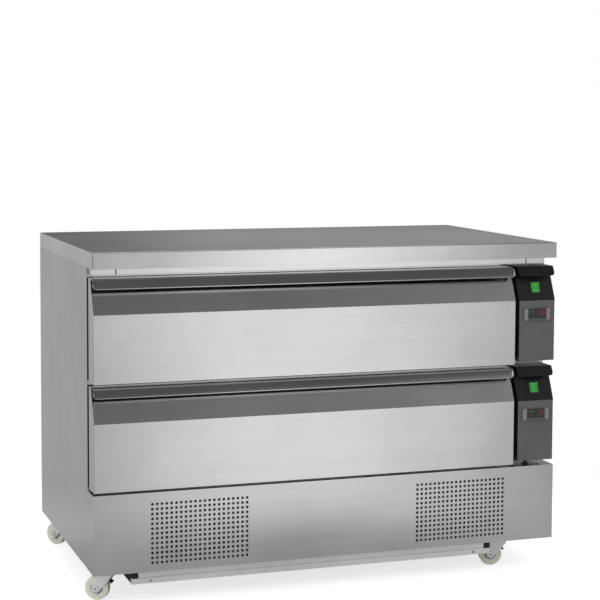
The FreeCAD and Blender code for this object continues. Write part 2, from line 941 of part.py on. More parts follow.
def make_fan(middle):
    """A hub on its shaft, with set blades."""
    hub_start = fan_plane + fan_hub_lift - shroud_sheet
    hub = rod(fan_hub, (middle, hub_start, fan_height), fan_hub_length, AXIS_Y)
    shaft_end = fan_plane + fan_collar + bearing_depth - shaft_end_gap
    shaft = rod(shaft_radius, (middle, hub_start, fan_height), shaft_end - hub_start, AXIS_Y)
    blades = []
    for number in range(fan_blades):
        blade = block(fan_hub - fan_blade_sheet, fan_hole - fan_tip_gap, -fan_blade_sheet / 2,
                      fan_blade_sheet / 2, -fan_blade_width / 2, fan_blade_width / 2)
        blade.rotate(Vector(0, 0, 0), AXIS_X, fan_blade_angle)
        blade.rotate(Vector(0, 0, 0), AXIS_Y, number * 360 / fan_blades)
        blade.translate(Vector(middle, hub_start + fan_hub_length / 2, fan_height))
        blades.append(blade)
    reach = rod(fan_hole - fan_tip_gap, (middle, fan_plane - shroud_depth, fan_height), 3 * shroud_depth,
                AXIS_Y)
    return joined([hub, shaft] + blades).common(reach)


def make_compressor(middle):
    """A sealed steel pot on a foot plate with four rubber feet."""
    floor = tray_low + sheet
    plate_low = floor + foot_height
    body_start = plate_low + foot_plate
    y = compressor_behind
    pot = rod(compressor_radius, (middle, y, body_start), compressor_height, AXIS_Z)
    pot = pot.makeFillet(compressor_dome, round_rims(pot, compressor_radius))
    inner_radius = compressor_radius - compressor_shell
    inner = rod(inner_radius, (middle, y, body_start + compressor_shell),
                compressor_height - 2 * compressor_shell, AXIS_Z)
    inner = inner.makeFillet(compressor_dome - compressor_shell, round_rims(inner, inner_radius))
    spread = foot_spread + foot_radius
    plate = block(middle - spread, middle + spread, y - spread, y + spread, plate_low, body_start)
    parts = [plate, pot.cut(inner)]
    for side_x in (-1, 1):
        for side_y in (-1, 1):
            start = (middle + side_x * foot_spread, y + side_y * foot_spread, floor)
            parts.append(rod(foot_radius, start, foot_height, AXIS_Z))
    return parts


def pipe_way(low, radius):
    """The hole for a refrigerant line through the right wall of a drawer space."""
    y = cavity_back - liner_sheet - evaporator_gap
    z = low + evaporator_low + evaporator_height / 2
    start = cavity_right - wall
    return rod(radius, (start, y, z), 3 * wall, AXIS_X)


def pipe(points, radius, bend):
    """A tube along straight runs joined by arcs that touch them."""
    corners = [Vector(*point) for point in points]
    edges = []
    start = corners[0]
    for before, corner, after in zip(corners, corners[1:], corners[2:]):
        way_in = (corner - before).normalize()
        way_out = (after - corner).normalize()
        turn = way_in.getAngle(way_out)
        cut = bend * math.tan(turn / 2)
        arc_start = corner - way_in * cut
        arc_end = corner + way_out * cut
        inward = (way_out - way_in).normalize()
        centre_distance = bend / math.cos(turn / 2)
        arc_middle = corner + inward * (centre_distance - bend)
        edges.append(Part.LineSegment(start, arc_start).toShape())
        edges.append(Part.Arc(arc_start, arc_middle, arc_end).toShape())
        start = arc_end
    edges.append(Part.LineSegment(start, corners[-1]).toShape())
    path = Part.Wire(edges)
    way = (corners[1] - corners[0]).normalize()
    ring = Part.Wire([Part.makeCircle(radius, corners[0], way)])
    return path.makePipeShell([ring], True, False)


def make_refrigerant_lines():
    """The suction line from each evaporator, through the strip at the right, to its compressor."""
    lines = []
    circuits = {
        "upper": (left_unit, upper_riser, upper_line_drop),
        "lower": (right_unit, lower_riser, lower_line_drop),
    }
    for name, (unit, riser_inset, line_drop) in circuits.items():
        low = drawers[name]
        y = cavity_back - liner_sheet - evaporator_gap
        z = low + evaporator_low + evaporator_height / 2
        end_x = cavity_right - evaporator_side_gap
        riser = cabinet_right + riser_inset
        level = cabinet_floor - line_drop
        top = tray_low + sheet + foot_height + foot_plate + compressor_height / 2
        reach = compressor_radius + 2 * pipe_bend
        lines.append(pipe([
            (end_x, y, z),
            (riser, y, z),
            (riser, y, level),
            (unit, y, level),
            (unit, compressor_behind + reach, level),
            (unit, compressor_behind + reach, top),
            (unit, compressor_behind + compressor_radius, top),
        ], pipe_radius, pipe_bend))
    return group(lines)


def make_evaporator(low):
    """A plate with one raised channel that runs to and fro, at the back of a drawer space."""
    x0 = cavity_left + evaporator_side_gap
    x1 = cavity_right - evaporator_side_gap
    y = cavity_back - liner_sheet - evaporator_gap
    z0 = low + evaporator_low
    z1 = z0 + evaporator_height
    plate = block(x0, x1, y - evaporator_sheet / 2, y + evaporator_sheet / 2, z0, z1)
    front = y - evaporator_sheet / 2 - channel_height
    back = y
    step = (evaporator_height - 2 * channel_width) / (channel_runs - 1)
    parts = [plate]
    run_left = x0 + 2 * channel_width
    run_right = x1 - 2 * channel_width
    for run in range(channel_runs):
        z = z0 + channel_width + run * step
        parts.append(block(run_left, run_right, front, back, z - channel_width / 2, z + channel_width / 2))
        if run < channel_runs - 1:
            x = run_right - channel_width if run % 2 == 0 else run_left
            parts.append(block(x, x + channel_width, front, back, z, z + step))
    return joined(parts)


# Castors: built at the origin with the wheel behind the king pin, along +X


def make_castor_plate():
    """The plate, the upper race, the king pin and its head, with four bolt heads."""
    half = castor_plate / 2
    race_low = plate_low - race_height
    plate = block(-half, half, -half, half, plate_low, castor_height)
    race = rod(race_radius, (0, 0, race_low), race_height, AXIS_Z)
    pin_low = crown_low - race_gap - king_head_height
    pin = rod(king_pin, (0, 0, pin_low), race_low - pin_low, AXIS_Z)
    head = rod(king_head, (0, 0, pin_low), king_head_height, AXIS_Z)
    parts = [plate, race, pin, head]
    for x in (-bolt_spread, bolt_spread):
        for y in (-bolt_spread, bolt_spread):
            parts.append(rod(bolt_head, (x, y, plate_low - bolt_head_height), bolt_head_height, AXIS_Z))
    return joined(parts)


def make_castor_fork(with_pedal):
    """The crown with its race, two legs, and the axle bolt and its nut."""
    lag = castor_trail + fork_lag
    outer = fork_gap + fork_sheet
    crown = joined([
        block(-fork_lead, lag, -outer, outer, crown_low, crown_high),
        rod(crown_radius, (0, 0, crown_low), fork_sheet, AXIS_Z),
        rod(crown_radius, (0, 0, crown_high), lower_race_height, AXIS_Z),
    ])
    outline = [
        (-fork_lead, crown_high),
        (lag, crown_high),
        (castor_trail + fork_end, wheel_radius),
        (castor_trail - fork_notch, wheel_radius - fork_notch_drop),
        (-fork_lead, crown_low - crown_gap),
    ]
    legs = []
    for y in (-outer, fork_gap):
        legs.append(side_prism(outline, y, y + fork_sheet))
        legs.append(rod(fork_end, (castor_trail, y, wheel_radius), fork_sheet, AXIS_Y))
    fork = joined([crown] + legs)
    fork = fork.cut(rod(king_pin + pin_fit, (0, 0, crown_low - past), castor_height, AXIS_Z))
    fork = fork.cut(rod(axle_radius + pin_fit, (castor_trail, -2 * outer, wheel_radius), 4 * outer, AXIS_Y))
    bolt = joined([
        rod(axle_radius, (castor_trail, -outer, wheel_radius), 2 * outer + axle_head_length, AXIS_Y),
        rod(axle_head, (castor_trail, -outer - axle_head_length, wheel_radius), axle_head_length, AXIS_Y),
    ])
    nut = rod(axle_head, (castor_trail, outer, wheel_radius), axle_head_length, AXIS_Y)
    thread = rod(axle_radius, (castor_trail, outer - past, wheel_radius), 2 * axle_head_length, AXIS_Y)
    nut = nut.cut(thread)
    solids = [fork, bolt, nut]
    if with_pedal:
        pin_way = rod(pedal_pin, (-pedal_back, -outer, pedal_rise), 2 * outer, AXIS_Y)
        solids[0] = fork.cut(pin_way)
        solids.append(pin_way)
    return group(solids)


def make_castor_hub():
    """The wheel's centre with its bosses."""
    disc = rod(tread_inner, (castor_trail, -hub_width / 2, wheel_radius), hub_width, AXIS_Y)
    reach = fork_gap - side_play
    boss = rod(hub_boss, (castor_trail, -reach, wheel_radius), 2 * reach, AXIS_Y)
    bore = rod(axle_radius + pin_fit, (castor_trail, -2 * reach, wheel_radius), 4 * reach, AXIS_Y)
    return joined([disc, boss]).cut(bore)


def make_castor_tread():
    """The tread round the hub, with soft edges."""
    ring = rod(wheel_radius, (castor_trail, -wheel_width / 2, wheel_radius), wheel_width, AXIS_Y)
    ring = ring.makeFillet(wheel_round, round_rims(ring, wheel_radius))
    return ring.cut(rod(tread_inner, (castor_trail, -wheel_width, wheel_radius), 2 * wheel_width, AXIS_Y))


def make_pedal(angle):
    """The brake pedal: a boss on its pin, a lever and a thick tip."""
    half = pedal_width / 2
    boss = rod(pedal_boss, (-pedal_back, -half, pedal_rise), pedal_width, AXIS_Y)
    lever = block(-pedal_back - pedal_length, -pedal_back, -half, half,
                  pedal_rise - pedal_sheet / 2, pedal_rise + pedal_sheet / 2)
    tip = block(-pedal_back - pedal_length, -pedal_back - pedal_length + pedal_tip, -half, half,
                pedal_rise - pedal_tip / 2, pedal_rise + pedal_tip / 2)
    pedal = joined([boss, lever, tip])
    pedal = pedal.cut(rod(pedal_pin + pin_fit, (-pedal_back, -2 * half, pedal_rise), 4 * half, AXIS_Y))
    pedal.rotate(Vector(-pedal_back, 0, pedal_rise), AXIS_Y, angle)
    return pedal


castors = {
    "front_left": (castor_left, castor_setback, heading_front_left, pedal_up),
    "front_right": (castor_right, castor_setback, heading_front_right, pedal_down),
    "back_left": (castor_left, depth - castor_setback, heading_back_left, None),
    "back_right": (castor_right, depth - castor_setback, heading_back_right, None),
}


def at_castor(shape, name, turned):
    """Put a castor piece in its corner, turned to its heading if it swivels."""
    x, y, heading, pedal = castors[name]
    placed = shape.copy()
    if turned:
        placed.rotate(Vector(0, 0, 0), AXIS_Z, heading)
    placed.translate(Vector(x, y, 0))
    return placed


def make_screws():
    """Two screws in the tray's bar and eight round the back panel."""
    screws = []
    z = tray_low + bar_height / 2
    for x in (tray_left + bar_screw_inset, cabinet_right - tray_right - bar_screw_inset):
        screws.append(rod(screw_radius, (x, beam_inset - screw_head, z), screw_head, AXIS_Y))
    inset = back_screw_inset
    for x in (sheet + inset, width / 2, width - sheet - inset):
        for height in (body_low + inset, (body_low + worktop_low) / 2, worktop_low - inset):
            if x == width / 2 and height == (body_low + worktop_low) / 2:
                continue
            screws.append(rod(screw_radius, (x, depth, height), screw_head, AXIS_Y))
    return group(screws)


def slide_group(maker):
    """One slide member for each drawer, left and right."""
    solids = []
    for low in drawers.values():
        solids.extend(pair(maker(low)))
    return group(solids)


nodes = {
    "worktop": make_worktop(),
    "worktop_board": make_worktop_board(),
    "left_side_panel": make_left_side(),
    "right_side_panel": mirrored_x(make_left_side(), width / 2),
    "back_panel": make_back_panel(),
    "cabinet_insulation": make_insulation(),
    "drawer_liners": make_liners(),
    "front_frame": make_front_frame(),
    "lower_front_panel": make_lower_panel(),
    "chassis": make_chassis(),
    "base_tray": make_base_tray(),
    "tray_pads": make_tray_pads(),
    "compressors": group([solid for x in units.values() for solid in make_compressor(x)]),
    "condensers": group([make_condenser(x) for x in units.values()]),
    "fan_shrouds": group([make_fan_shroud(x) for x in units.values()]),
    "evaporators": group([make_evaporator(low) for low in drawers.values()]),
    "refrigerant_lines": make_refrigerant_lines(),
    "cabinet_runners": slide_group(cabinet_runner),
    "control_housings": group([make_housing(low) for low in drawers.values()]),
    "control_plates": group([make_control_plate(low) for low in drawers.values()]),
    "thermostats": group([make_thermostat(low) for low in drawers.values()]),
    "thermostat_windows": group([make_window(low) for low in drawers.values()]),
    "switch_frames": group([on_slope(make_switch_frame(), low) for low in drawers.values()]),
    "cable_fittings": make_cable_fittings(),
    "castor_plates": group([at_castor(make_castor_plate(), name, False) for name in castors]),
    "small_screws": make_screws(),
}
for side, x in units.items():
    nodes["condenser_fan_" + side] = make_fan(x)
for level, low in drawers.items():
    nodes["rocker_" + level] = on_slope(make_rocker(), low)
    nodes[level + "_front_skin"] = make_front_skin(low)
    nodes[level + "_front_core"] = make_front_core(low)
    nodes[level + "_hand_rail"] = group(lip_shape(low, front_left, front_right, 0))
    nodes[level + "_inner_panel"] = make_inner_panel(low)
    nodes[level + "_drawer_seal"] = make_seal(low)
    nodes[level + "_drawer_box"] = make_box(low)
    nodes[level + "_inner_runners"] = group(pair(inner_runner(low)))
    nodes[level + "_middle_runners"] = group(pair(middle_runner(low)))
for name, (x, y, heading, pedal_angle) in castors.items():
    nodes["castor_fork_" + name] = at_castor(make_castor_fork(pedal_angle is not None), name, True)
    nodes["castor_hub_" + name] = at_castor(make_castor_hub(), name, True)
    nodes["castor_tread_" + name] = at_castor(make_castor_tread(), name, True)
    if pedal_angle is not None:
        nodes["brake_pedal_" + name] = at_castor(make_pedal(pedal_angle), name, True)

# The castors reach out past the left side, so the middle is found from what was built
left_reach = min(shape.optimalBoundingBox(False).XMin for shape in nodes.values())
right_reach = max(shape.optimalBoundingBox(False).XMax for shape in nodes.values())
back_reach = max(shape.optimalBoundingBox(False).YMax for shape in nodes.values())
origin_x = (left_reach + right_reach) / 2
origin_y = back_reach / 2

os.makedirs("parts", exist_ok=True)
for name, shape in nodes.items():
    shape.translate(Vector(-origin_x, -origin_y, 0))
    shape.exportStep("parts/" + name + ".step")
print("nodes:", len(nodes), "origin:", round(origin_x, 3), round(origin_y, 3), "top:", worktop_top)
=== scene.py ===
# %% [markdown]
# # A steel drawer unit for a kitchen, dressed for the studio
# The unit is a low refrigerator with two wide drawers. Its body is bent from thin brushed stainless
# sheet, its controls sit in black plastic housings, and it rolls on four small castors.
# The construction is loaded as a fixed frame of separate parts, each in its final place.
# This file adds what the frame leaves out: the finish of every surface, softened edges, turned
# wheels, gaskets, the display and its keys, and a studio to look at it in.

# %% Load the frame
import json
import math

import bmesh
import bpy
import numpy as np
from mathutils import Matrix, Vector

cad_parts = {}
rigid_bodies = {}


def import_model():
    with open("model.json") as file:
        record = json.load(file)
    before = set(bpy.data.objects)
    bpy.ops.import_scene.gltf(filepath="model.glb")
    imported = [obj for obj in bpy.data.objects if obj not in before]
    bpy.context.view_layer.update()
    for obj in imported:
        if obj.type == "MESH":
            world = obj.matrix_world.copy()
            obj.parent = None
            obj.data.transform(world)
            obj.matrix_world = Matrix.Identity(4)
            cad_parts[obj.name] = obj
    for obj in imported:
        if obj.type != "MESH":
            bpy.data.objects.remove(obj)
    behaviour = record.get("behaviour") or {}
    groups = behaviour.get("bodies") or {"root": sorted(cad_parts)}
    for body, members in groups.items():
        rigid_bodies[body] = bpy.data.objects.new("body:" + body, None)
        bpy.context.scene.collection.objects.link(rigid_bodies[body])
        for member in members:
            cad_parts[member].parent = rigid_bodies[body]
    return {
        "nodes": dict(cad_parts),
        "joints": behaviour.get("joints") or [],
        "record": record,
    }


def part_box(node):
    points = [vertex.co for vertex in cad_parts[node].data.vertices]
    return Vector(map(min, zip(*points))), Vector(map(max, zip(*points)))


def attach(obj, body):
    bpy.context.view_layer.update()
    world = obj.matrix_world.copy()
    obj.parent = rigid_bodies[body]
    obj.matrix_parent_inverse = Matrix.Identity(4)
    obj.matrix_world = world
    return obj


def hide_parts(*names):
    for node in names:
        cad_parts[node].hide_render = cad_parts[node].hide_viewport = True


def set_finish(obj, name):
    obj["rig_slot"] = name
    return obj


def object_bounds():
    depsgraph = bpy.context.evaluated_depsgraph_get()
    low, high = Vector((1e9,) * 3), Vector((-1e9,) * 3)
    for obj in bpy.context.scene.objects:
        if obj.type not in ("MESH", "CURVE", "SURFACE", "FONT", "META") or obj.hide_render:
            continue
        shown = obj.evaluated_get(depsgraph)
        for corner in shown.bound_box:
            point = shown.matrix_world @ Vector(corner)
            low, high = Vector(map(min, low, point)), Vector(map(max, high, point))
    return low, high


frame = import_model()
nodes = frame["nodes"]
joints = {joint["name"]: joint for joint in frame["joints"]}
body_of = {}
for body_name, members in frame["record"]["behaviour"]["bodies"].items():
    for member in members:
        body_of[member] = body_name
slot_of = {name: node.data.materials[0].name for name, node in nodes.items()}
cad_low, cad_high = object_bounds()
unit_size = [cad_high[axis] - cad_low[axis] for axis in range(3)]
levels = ("lower", "upper")
castors = ("front_left", "front_right", "back_left", "back_right")
MM = 0.001
print("parts in the frame:", len(nodes), "size in metres:", [round(side, 4) for side in unit_size])

# %% [markdown]
# ## Surfaces from arrays
# A new piece could be pushed into shape by hand, but then nobody can change it later.
# Here each new piece is a grid of points worked out by a formula, as one numpy array. The helpers
# below only turn such a grid into a mesh: they index its quads, point its faces outwards and mark
# the edges that are meant to look sharp.

# %% Grids of points become meshes
SHARP_ANGLE = math.radians(32.0)


def grid_quads(rows, columns, close_rows=False, close_columns=False):
    """Four corners for each cell of a grid stored row by row, with the last row or column joined to
    the first where asked."""
    row = np.arange(rows if close_rows else rows - 1)[:, None]
    column = np.arange(columns if close_columns else columns - 1)[None, :]
    next_row = (row + 1) % rows
    next_column = (column + 1) % columns
    corners = (row * columns + column, row * columns + next_column,
               next_row * columns + next_column, next_row * columns + column)
    return np.stack(np.broadcast_arrays(*corners), -1).reshape(-1, 4).tolist()


def shade(mesh, angle=SHARP_ANGLE):
    """Smooth shading everywhere, except across edges that turn by more than the angle."""
    mesh.polygons.foreach_set("use_smooth", np.ones(len(mesh.polygons), bool))
    mesh.set_sharp_from_angle(angle=angle)


def gathered(parts):
    """Several (points, faces) pairs as one: each part's face numbers move on past the points before."""
    points, faces, count = [], [], 0
    for part_points, part_faces in parts:
        part_points = np.asarray(part_points, float).reshape(-1, 3)
        points.append(part_points)
        faces += [[corner + count for corner in face] for face in part_faces]
        count += len(part_points)
    return np.concatenate(points), faces


def mesh_piece(name, points, faces, body, slot, stands_for=None):
    """A piece from points and faces: it points outwards, rides on a body, takes a slot's finish, and
    may stand for a part of the frame."""
    mesh = bpy.data.meshes.new(name)
    mesh.from_pydata(np.asarray(points).reshape(-1, 3).tolist(), [], faces)
    work = bmesh.new()
    work.from_mesh(mesh)
    bmesh.ops.recalc_face_normals(work, faces=work.faces)
    work.to_mesh(mesh)
    work.free()
    shade(mesh)
    piece = bpy.data.objects.new(name, mesh)
    bpy.context.scene.collection.objects.link(piece)
    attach(piece, body)
    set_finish(piece, slot)
    if stands_for:
        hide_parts(stands_for)
    return piece


def frame_across(axis):
    """Two unit vectors square to an axis and to each other."""
    axis = np.asarray(axis, float)
    helper = np.array([0.0, 0.0, 1.0]) if abs(axis[2]) < 0.9 else np.array([1.0, 0.0, 0.0])
    first = np.cross(axis, helper)
    first /= np.linalg.norm(first)
    return first, np.cross(axis, first)


def turned(profile, centre, axis, steps=96):
    """A closed profile of (along, out) points turned round an axis.
    point = centre + along * axis + out * (first * cos t + second * sin t), for t from 0 to a full turn."""
    along, out = np.asarray(profile, float).T
    first, second = frame_across(axis)
    turn = np.linspace(0.0, 2 * math.pi, steps, endpoint=False)[:, None, None]
    ring = first * np.cos(turn) + second * np.sin(turn)
    points = np.asarray(centre) + along[None, :, None] * np.asarray(axis) + out[None, :, None] * ring
    return points, grid_quads(steps, len(along), True, True)


def vertex_places(name):
    """The corner points of a part of the frame, as one array."""
    mesh = nodes[name].data
    places = np.empty(len(mesh.vertices) * 3, np.float32)
    mesh.vertices.foreach_get("co", places)
    return places.reshape(-1, 3).astype(float)


# %% [markdown]
# ## Bent and moulded edges
# No real edge is a knife edge: folded sheet has a radius, and a moulded housing a larger one. Those
# thin bright lines along the edges are what makes metal look like metal. The parts of the frame have
# sharp edges, so a copy of each part that shows gets a narrow bevel. The copy's loose triangles are
# merged first, and flat areas become single faces, because a bevel needs clean edges to work on.
# The drawer fronts also fold by only 24 degrees, so they get their own, smaller limit angle.

# %% Softened copies of the frame's parts
MERGE_DISTANCE = 1e-5
FLAT_ANGLE = math.radians(0.6)
BEVEL_ANGLE = math.radians(28.0)
FOLD_ANGLE = math.radians(15.0)


def softened(name, width_mm, segments=2, limit=BEVEL_ANGLE):
    """A copy of a part with its edges rounded by a bevel, which stands for that part."""
    mesh = nodes[name].data.copy()
    mesh.materials.clear()
    work = bmesh.new()
    work.from_mesh(mesh)
    bmesh.ops.remove_doubles(work, verts=work.verts, dist=MERGE_DISTANCE)
    bmesh.ops.dissolve_limit(work, angle_limit=FLAT_ANGLE, verts=work.verts, edges=work.edges)
    work.to_mesh(mesh)
    work.free()
    if mesh.has_custom_normals:
        mesh.attributes.remove(mesh.attributes["custom_normal"])
    shade(mesh, min(limit, SHARP_ANGLE))
    piece = bpy.data.objects.new(name + "_soft", mesh)
    bpy.context.scene.collection.objects.link(piece)
    bevel = piece.modifiers.new("rounded edges", "BEVEL")
    bevel.width = width_mm * MM
    bevel.segments = segments
    bevel.limit_method = "ANGLE"
    bevel.angle_limit = limit
    bevel.harden_normals = True
    bevel.use_clamp_overlap = True
    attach(piece, body_of[name])
    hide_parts(name)
    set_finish(piece, slot_of[name])
    return piece


soft_edges = {
    "worktop": 1.5,
    "left_side_panel": 0.5,
    "right_side_panel": 0.5,
    "front_frame": 0.5,
    "base_tray": 0.5,
    "tray_pads": 0.8,
    "control_housings": 1.4,
    "control_plates": 0.35,
    "thermostats": 0.8,
    "thermostat_windows": 0.3,
    "switch_frames": 0.4,
    "castor_plates": 0.4,
}
for part, width_mm in soft_edges.items():
    softened(part, width_mm)
for castor in castors:
    softened("castor_fork_" + castor, 0.5)
for level in levels:
    softened(level + "_front_skin", 0.7, 3, FOLD_ANGLE)
print("softened parts:", len(soft_edges) + len(castors) + len(levels))

# %% [markdown]
# ## The hand rails
# Each drawer is pulled by a lip of bent sheet along its top: a flat strip, a soft bend, a leaning
# face, and a lower edge folded back level so that it doesn't cut the fingers. Its lower corners are
# round. Boxes could stand for it, but the two bends give the bright lines that show. The level return
# stays short, so that the fingers still reach in behind the lip. The section of the sheet is one
# closed outline, carried along the width of the drawer. Near the ends the leaning face and the return
# get shorter, by a quarter circle, which rounds the corners.

# %% Folded lips
LIP_LEAN = 13.0 * MM
LIP_SHEET = 1.2 * MM
LIP_BEND = 2.2 * MM
LIP_HEM = 1.7 * MM
LIP_RETURN = 7.4 * MM
LIP_CORNER = 10.0 * MM
BEND_STEPS = 8
CORNER_STEPS = 10


def arc(centre, radius, start, end):
    """Points of a circle's arc: centre + radius * (cos a, sin a), for a from start to end."""
    angle = np.linspace(start, end, BEND_STEPS)[:, None]
    return centre + radius * np.hstack([np.cos(angle), np.sin(angle)])


def lip_section(low, high, shortened):
    """The closed outline of the bent sheet in (y, z), for one length of the leaning face.
    Outside: the flat strip, an arc down into the leaning face, a second arc under it, and the level
    return below. Inside: the same line one sheet further in, so its arcs are tighter."""
    top = high[2]
    fall = math.atan2(top - low[2] - 1.5 * LIP_HEM, LIP_LEAN)
    drop = top - low[2] - LIP_HEM * (1 + math.cos(fall))
    down = np.array([-math.cos(fall), -math.sin(fall)])
    outward = np.array([-math.sin(fall), math.cos(fall)])
    facing = math.pi - math.atan2(outward[1], -outward[0])
    bend = np.array([low[1] + LIP_LEAN + LIP_BEND * math.tan(fall / 2), top - LIP_BEND])
    end = np.array([low[1] + LIP_LEAN, top]) + down * (drop / math.sin(fall) - shortened)
    hem = end - outward * LIP_HEM
    reach = hem[0] + max(LIP_RETURN - 1.1 * shortened, 0.6 * MM)
    foot = hem[1] - LIP_HEM
    outside = [arc(bend, LIP_BEND, math.pi / 2, facing), arc(hem, LIP_HEM, facing, 1.5 * math.pi)]
    inside = [arc(hem, LIP_HEM - LIP_SHEET, 1.5 * math.pi, facing),
              arc(bend, LIP_BEND - LIP_SHEET, facing, math.pi / 2)]
    return np.concatenate([[(high[1], top)], *outside, [(reach, foot), (reach, foot + LIP_SHEET)], *inside,
                           [(high[1], top - LIP_SHEET)]])


def hand_rail(level):
    """Stations across the width, closer together in the round corners, each with its own section."""
    name = level + "_hand_rail"
    low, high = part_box(name)
    turn = np.linspace(0.0, math.pi / 2, CORNER_STEPS)
    inset = LIP_CORNER * (1 - np.cos(turn))
    cut = LIP_CORNER * (1 - np.sin(turn))
    across = np.concatenate([low[0] + inset, (high[0] - inset)[::-1]])
    short = np.concatenate([cut, cut[::-1]])
    sections = np.stack([lip_section(low, high, length) for length in short])
    places = np.broadcast_to(across[:, None, None], (*sections.shape[:2], 1))
    points = np.concatenate([places, sections], -1)
    rows, columns = sections.shape[:2]
    faces = grid_quads(rows, columns, close_columns=True)
    faces += [list(range(columns)), list(range((rows - 1) * columns, rows * columns))]
    return mesh_piece(name + "_folded", points, faces, body_of[name], slot_of[name], name)


for level in levels:
    rail = hand_rail(level)
print("lip sheet in mm:", LIP_SHEET / MM, "faces in one rail:", len(rail.data.polygons))

# %% [markdown]
# ## Joints in the rail
# The rail under the worktop meets the two corner pieces at a narrow slit, which is cut in the frame's
# part. A flat black strip with square ends, standing out by a tenth of a millimetre, fills each slit
# as painted shade, so that it looks as dark as the shadow inside a real slit.

# %% Black strips as painted shade in the slits
JOINT_WIDTH = 2.6 * MM
JOINT_RISE = 0.1 * MM
JOINT_DEPTH = 4.0 * MM
JOINT_INSET = 0.3 * MM
RAIL_LOW = 803.0 * MM


def strip(low_x, high_x, low_z, high_z, front_y, back_y):
    """A thin upright plate as eight points: two rectangles, one at front_y and one at back_y."""
    corners = [(low_x, low_z), (high_x, low_z), (high_x, high_z), (low_x, high_z)]
    points = [(x, y, z) for y in (front_y, back_y) for x, z in corners]
    return np.array(points), [[0, 1, 2, 3], [7, 6, 5, 4]] + grid_quads(2, 4, close_columns=True)


rail_places = vertex_places("front_frame")
rail_front = rail_places[:, 1].min()
rail_low, rail_high = RAIL_LOW, rail_places[:, 2].max()
cuts = rail_places[(rail_places[:, 1] < rail_front + 1e-5) & (rail_places[:, 2] > rail_low)]
cut_edges = np.unique(np.round(cuts[:, 0], 5))[1:-1]
strips = []
for middle in (cut_edges[:2].mean(), cut_edges[-2:].mean()):
    strips.append(strip(middle - JOINT_WIDTH / 2, middle + JOINT_WIDTH / 2, rail_low + JOINT_INSET,
                        rail_high - JOINT_INSET, rail_front - JOINT_RISE, rail_front + JOINT_DEPTH))
# A black strip in each slit: painted shade standing in for the shadow of the gap.
mesh_piece("rail_joints", *gathered(strips), "cabinet", "black_rubber")
print("joints at x in mm:", [round(float(edge) / MM, 1) for edge in cut_edges])

# %% [markdown]
# ## Gaskets
# Behind each drawer front a soft vinyl gasket seals the cold air in. It's a bellows with a magnet in
# its face, so that it can stretch and close by itself. It could be a plain frame, but it is in full
# view when a drawer is out. So a folded section is carried round a rectangle with round corners.

# %% Bellows gaskets
GASKET_WIDTH = 16.0 * MM
GASKET_CORNER = 9.0 * MM
GASKET_FOLDS = 2
GASKET_WAIST = 0.26


def rounded_rectangle(low, high, radius, steps=9):
    """Points and outward directions round a rectangle: four quarter circles joined by straight runs."""
    middles = ((high[0] - radius, high[1] - radius), (low[0] + radius, high[1] - radius),
               (low[0] + radius, low[1] + radius), (high[0] - radius, low[1] + radius))
    turn = np.concatenate([np.linspace(quarter, quarter + 1.0, steps) for quarter in range(4)]) * math.pi / 2
    ways = np.stack([np.cos(turn), np.sin(turn)], -1)
    return np.repeat(np.array(middles), steps, axis=0) + radius * ways, ways


def bellows_section(half_width, depth):
    """A closed outline in (across, deep): both walls draw in twice between the base and the face, by
    width * waist * (1 - cos(2 pi * folds * u)) / 2, for u from 0 at the base to 1 at the face."""
    share = np.linspace(0.0, 1.0, 22)
    drawn_in = GASKET_WAIST * (1 - np.cos(2 * math.pi * GASKET_FOLDS * share)) / 2
    face_round = 1 - 0.12 * np.clip((share - 0.86) / 0.14, 0, 1) ** 2
    wall = half_width * (1 - drawn_in) * face_round
    one = np.stack([wall, depth * share], -1)
    return np.concatenate([one, (one * (-1, 1))[::-1]])


for level in levels:
    name = level + "_drawer_seal"
    low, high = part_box(name)
    half = GASKET_WIDTH / 2
    path, ways = rounded_rectangle((low[0] + half, low[2] + half), (high[0] - half, high[2] - half),
                                   GASKET_CORNER)
    section = bellows_section(half, high[1] - low[1])
    spread = path[:, None, :] + ways[:, None, :] * section[None, :, :1]
    deep = np.broadcast_to(low[1] + section[None, :, 1:], (*spread.shape[:2], 1))
    points = np.concatenate([spread[..., :1], deep, spread[..., 1:]], -1)
    mesh_piece(name + "_bellows", points, grid_quads(*spread.shape[:2], True, True), body_of[name],
               slot_of[name], name)
print("gasket section points:", len(section))

# %% [markdown]
# ## Wheels
# A castor wheel of this kind is a grey nylon hub with a cream tread moulded over its rim. Both are
# round, so one closed profile carried round the axle makes each. The tread has a rounded crown, and
# a shallow ring groove in each side; the hub is thin between its boss and its rim.
# All radii are read from the frame's own parts, so the new wheel fills the same space. The frame's
# circles are many-sided, so the tread stays a fifth of a millimetre inside its widest points.

# %% Turned treads and hubs
TREAD_LAP = 4.5 * MM
TREAD_CROWN = 2.6 * MM
HUB_WEB = 2.4 * MM
TREAD_EASE = 0.2 * MM


def measured_ring(name, joint):
    """Where a round part lies round its axle: the axle's direction, along it from and to, and the
    inner and outer radius."""
    offset = vertex_places(name) - np.array(joint["pos_m"])
    axis = np.array(joint["axis"], float)
    axis /= np.linalg.norm(axis)
    along = offset @ axis
    out = np.linalg.norm(offset - along[:, None] * axis, axis=1)
    return axis, along.min(), along.max(), out.min(), out.max()


def eased(value, start, end):
    """A smooth step from 0 at start to 1 at end: t * t * (3 - 2 t)."""
    share = np.clip((value - start) / (end - start), 0.0, 1.0)
    return share * share * (3 - 2 * share)


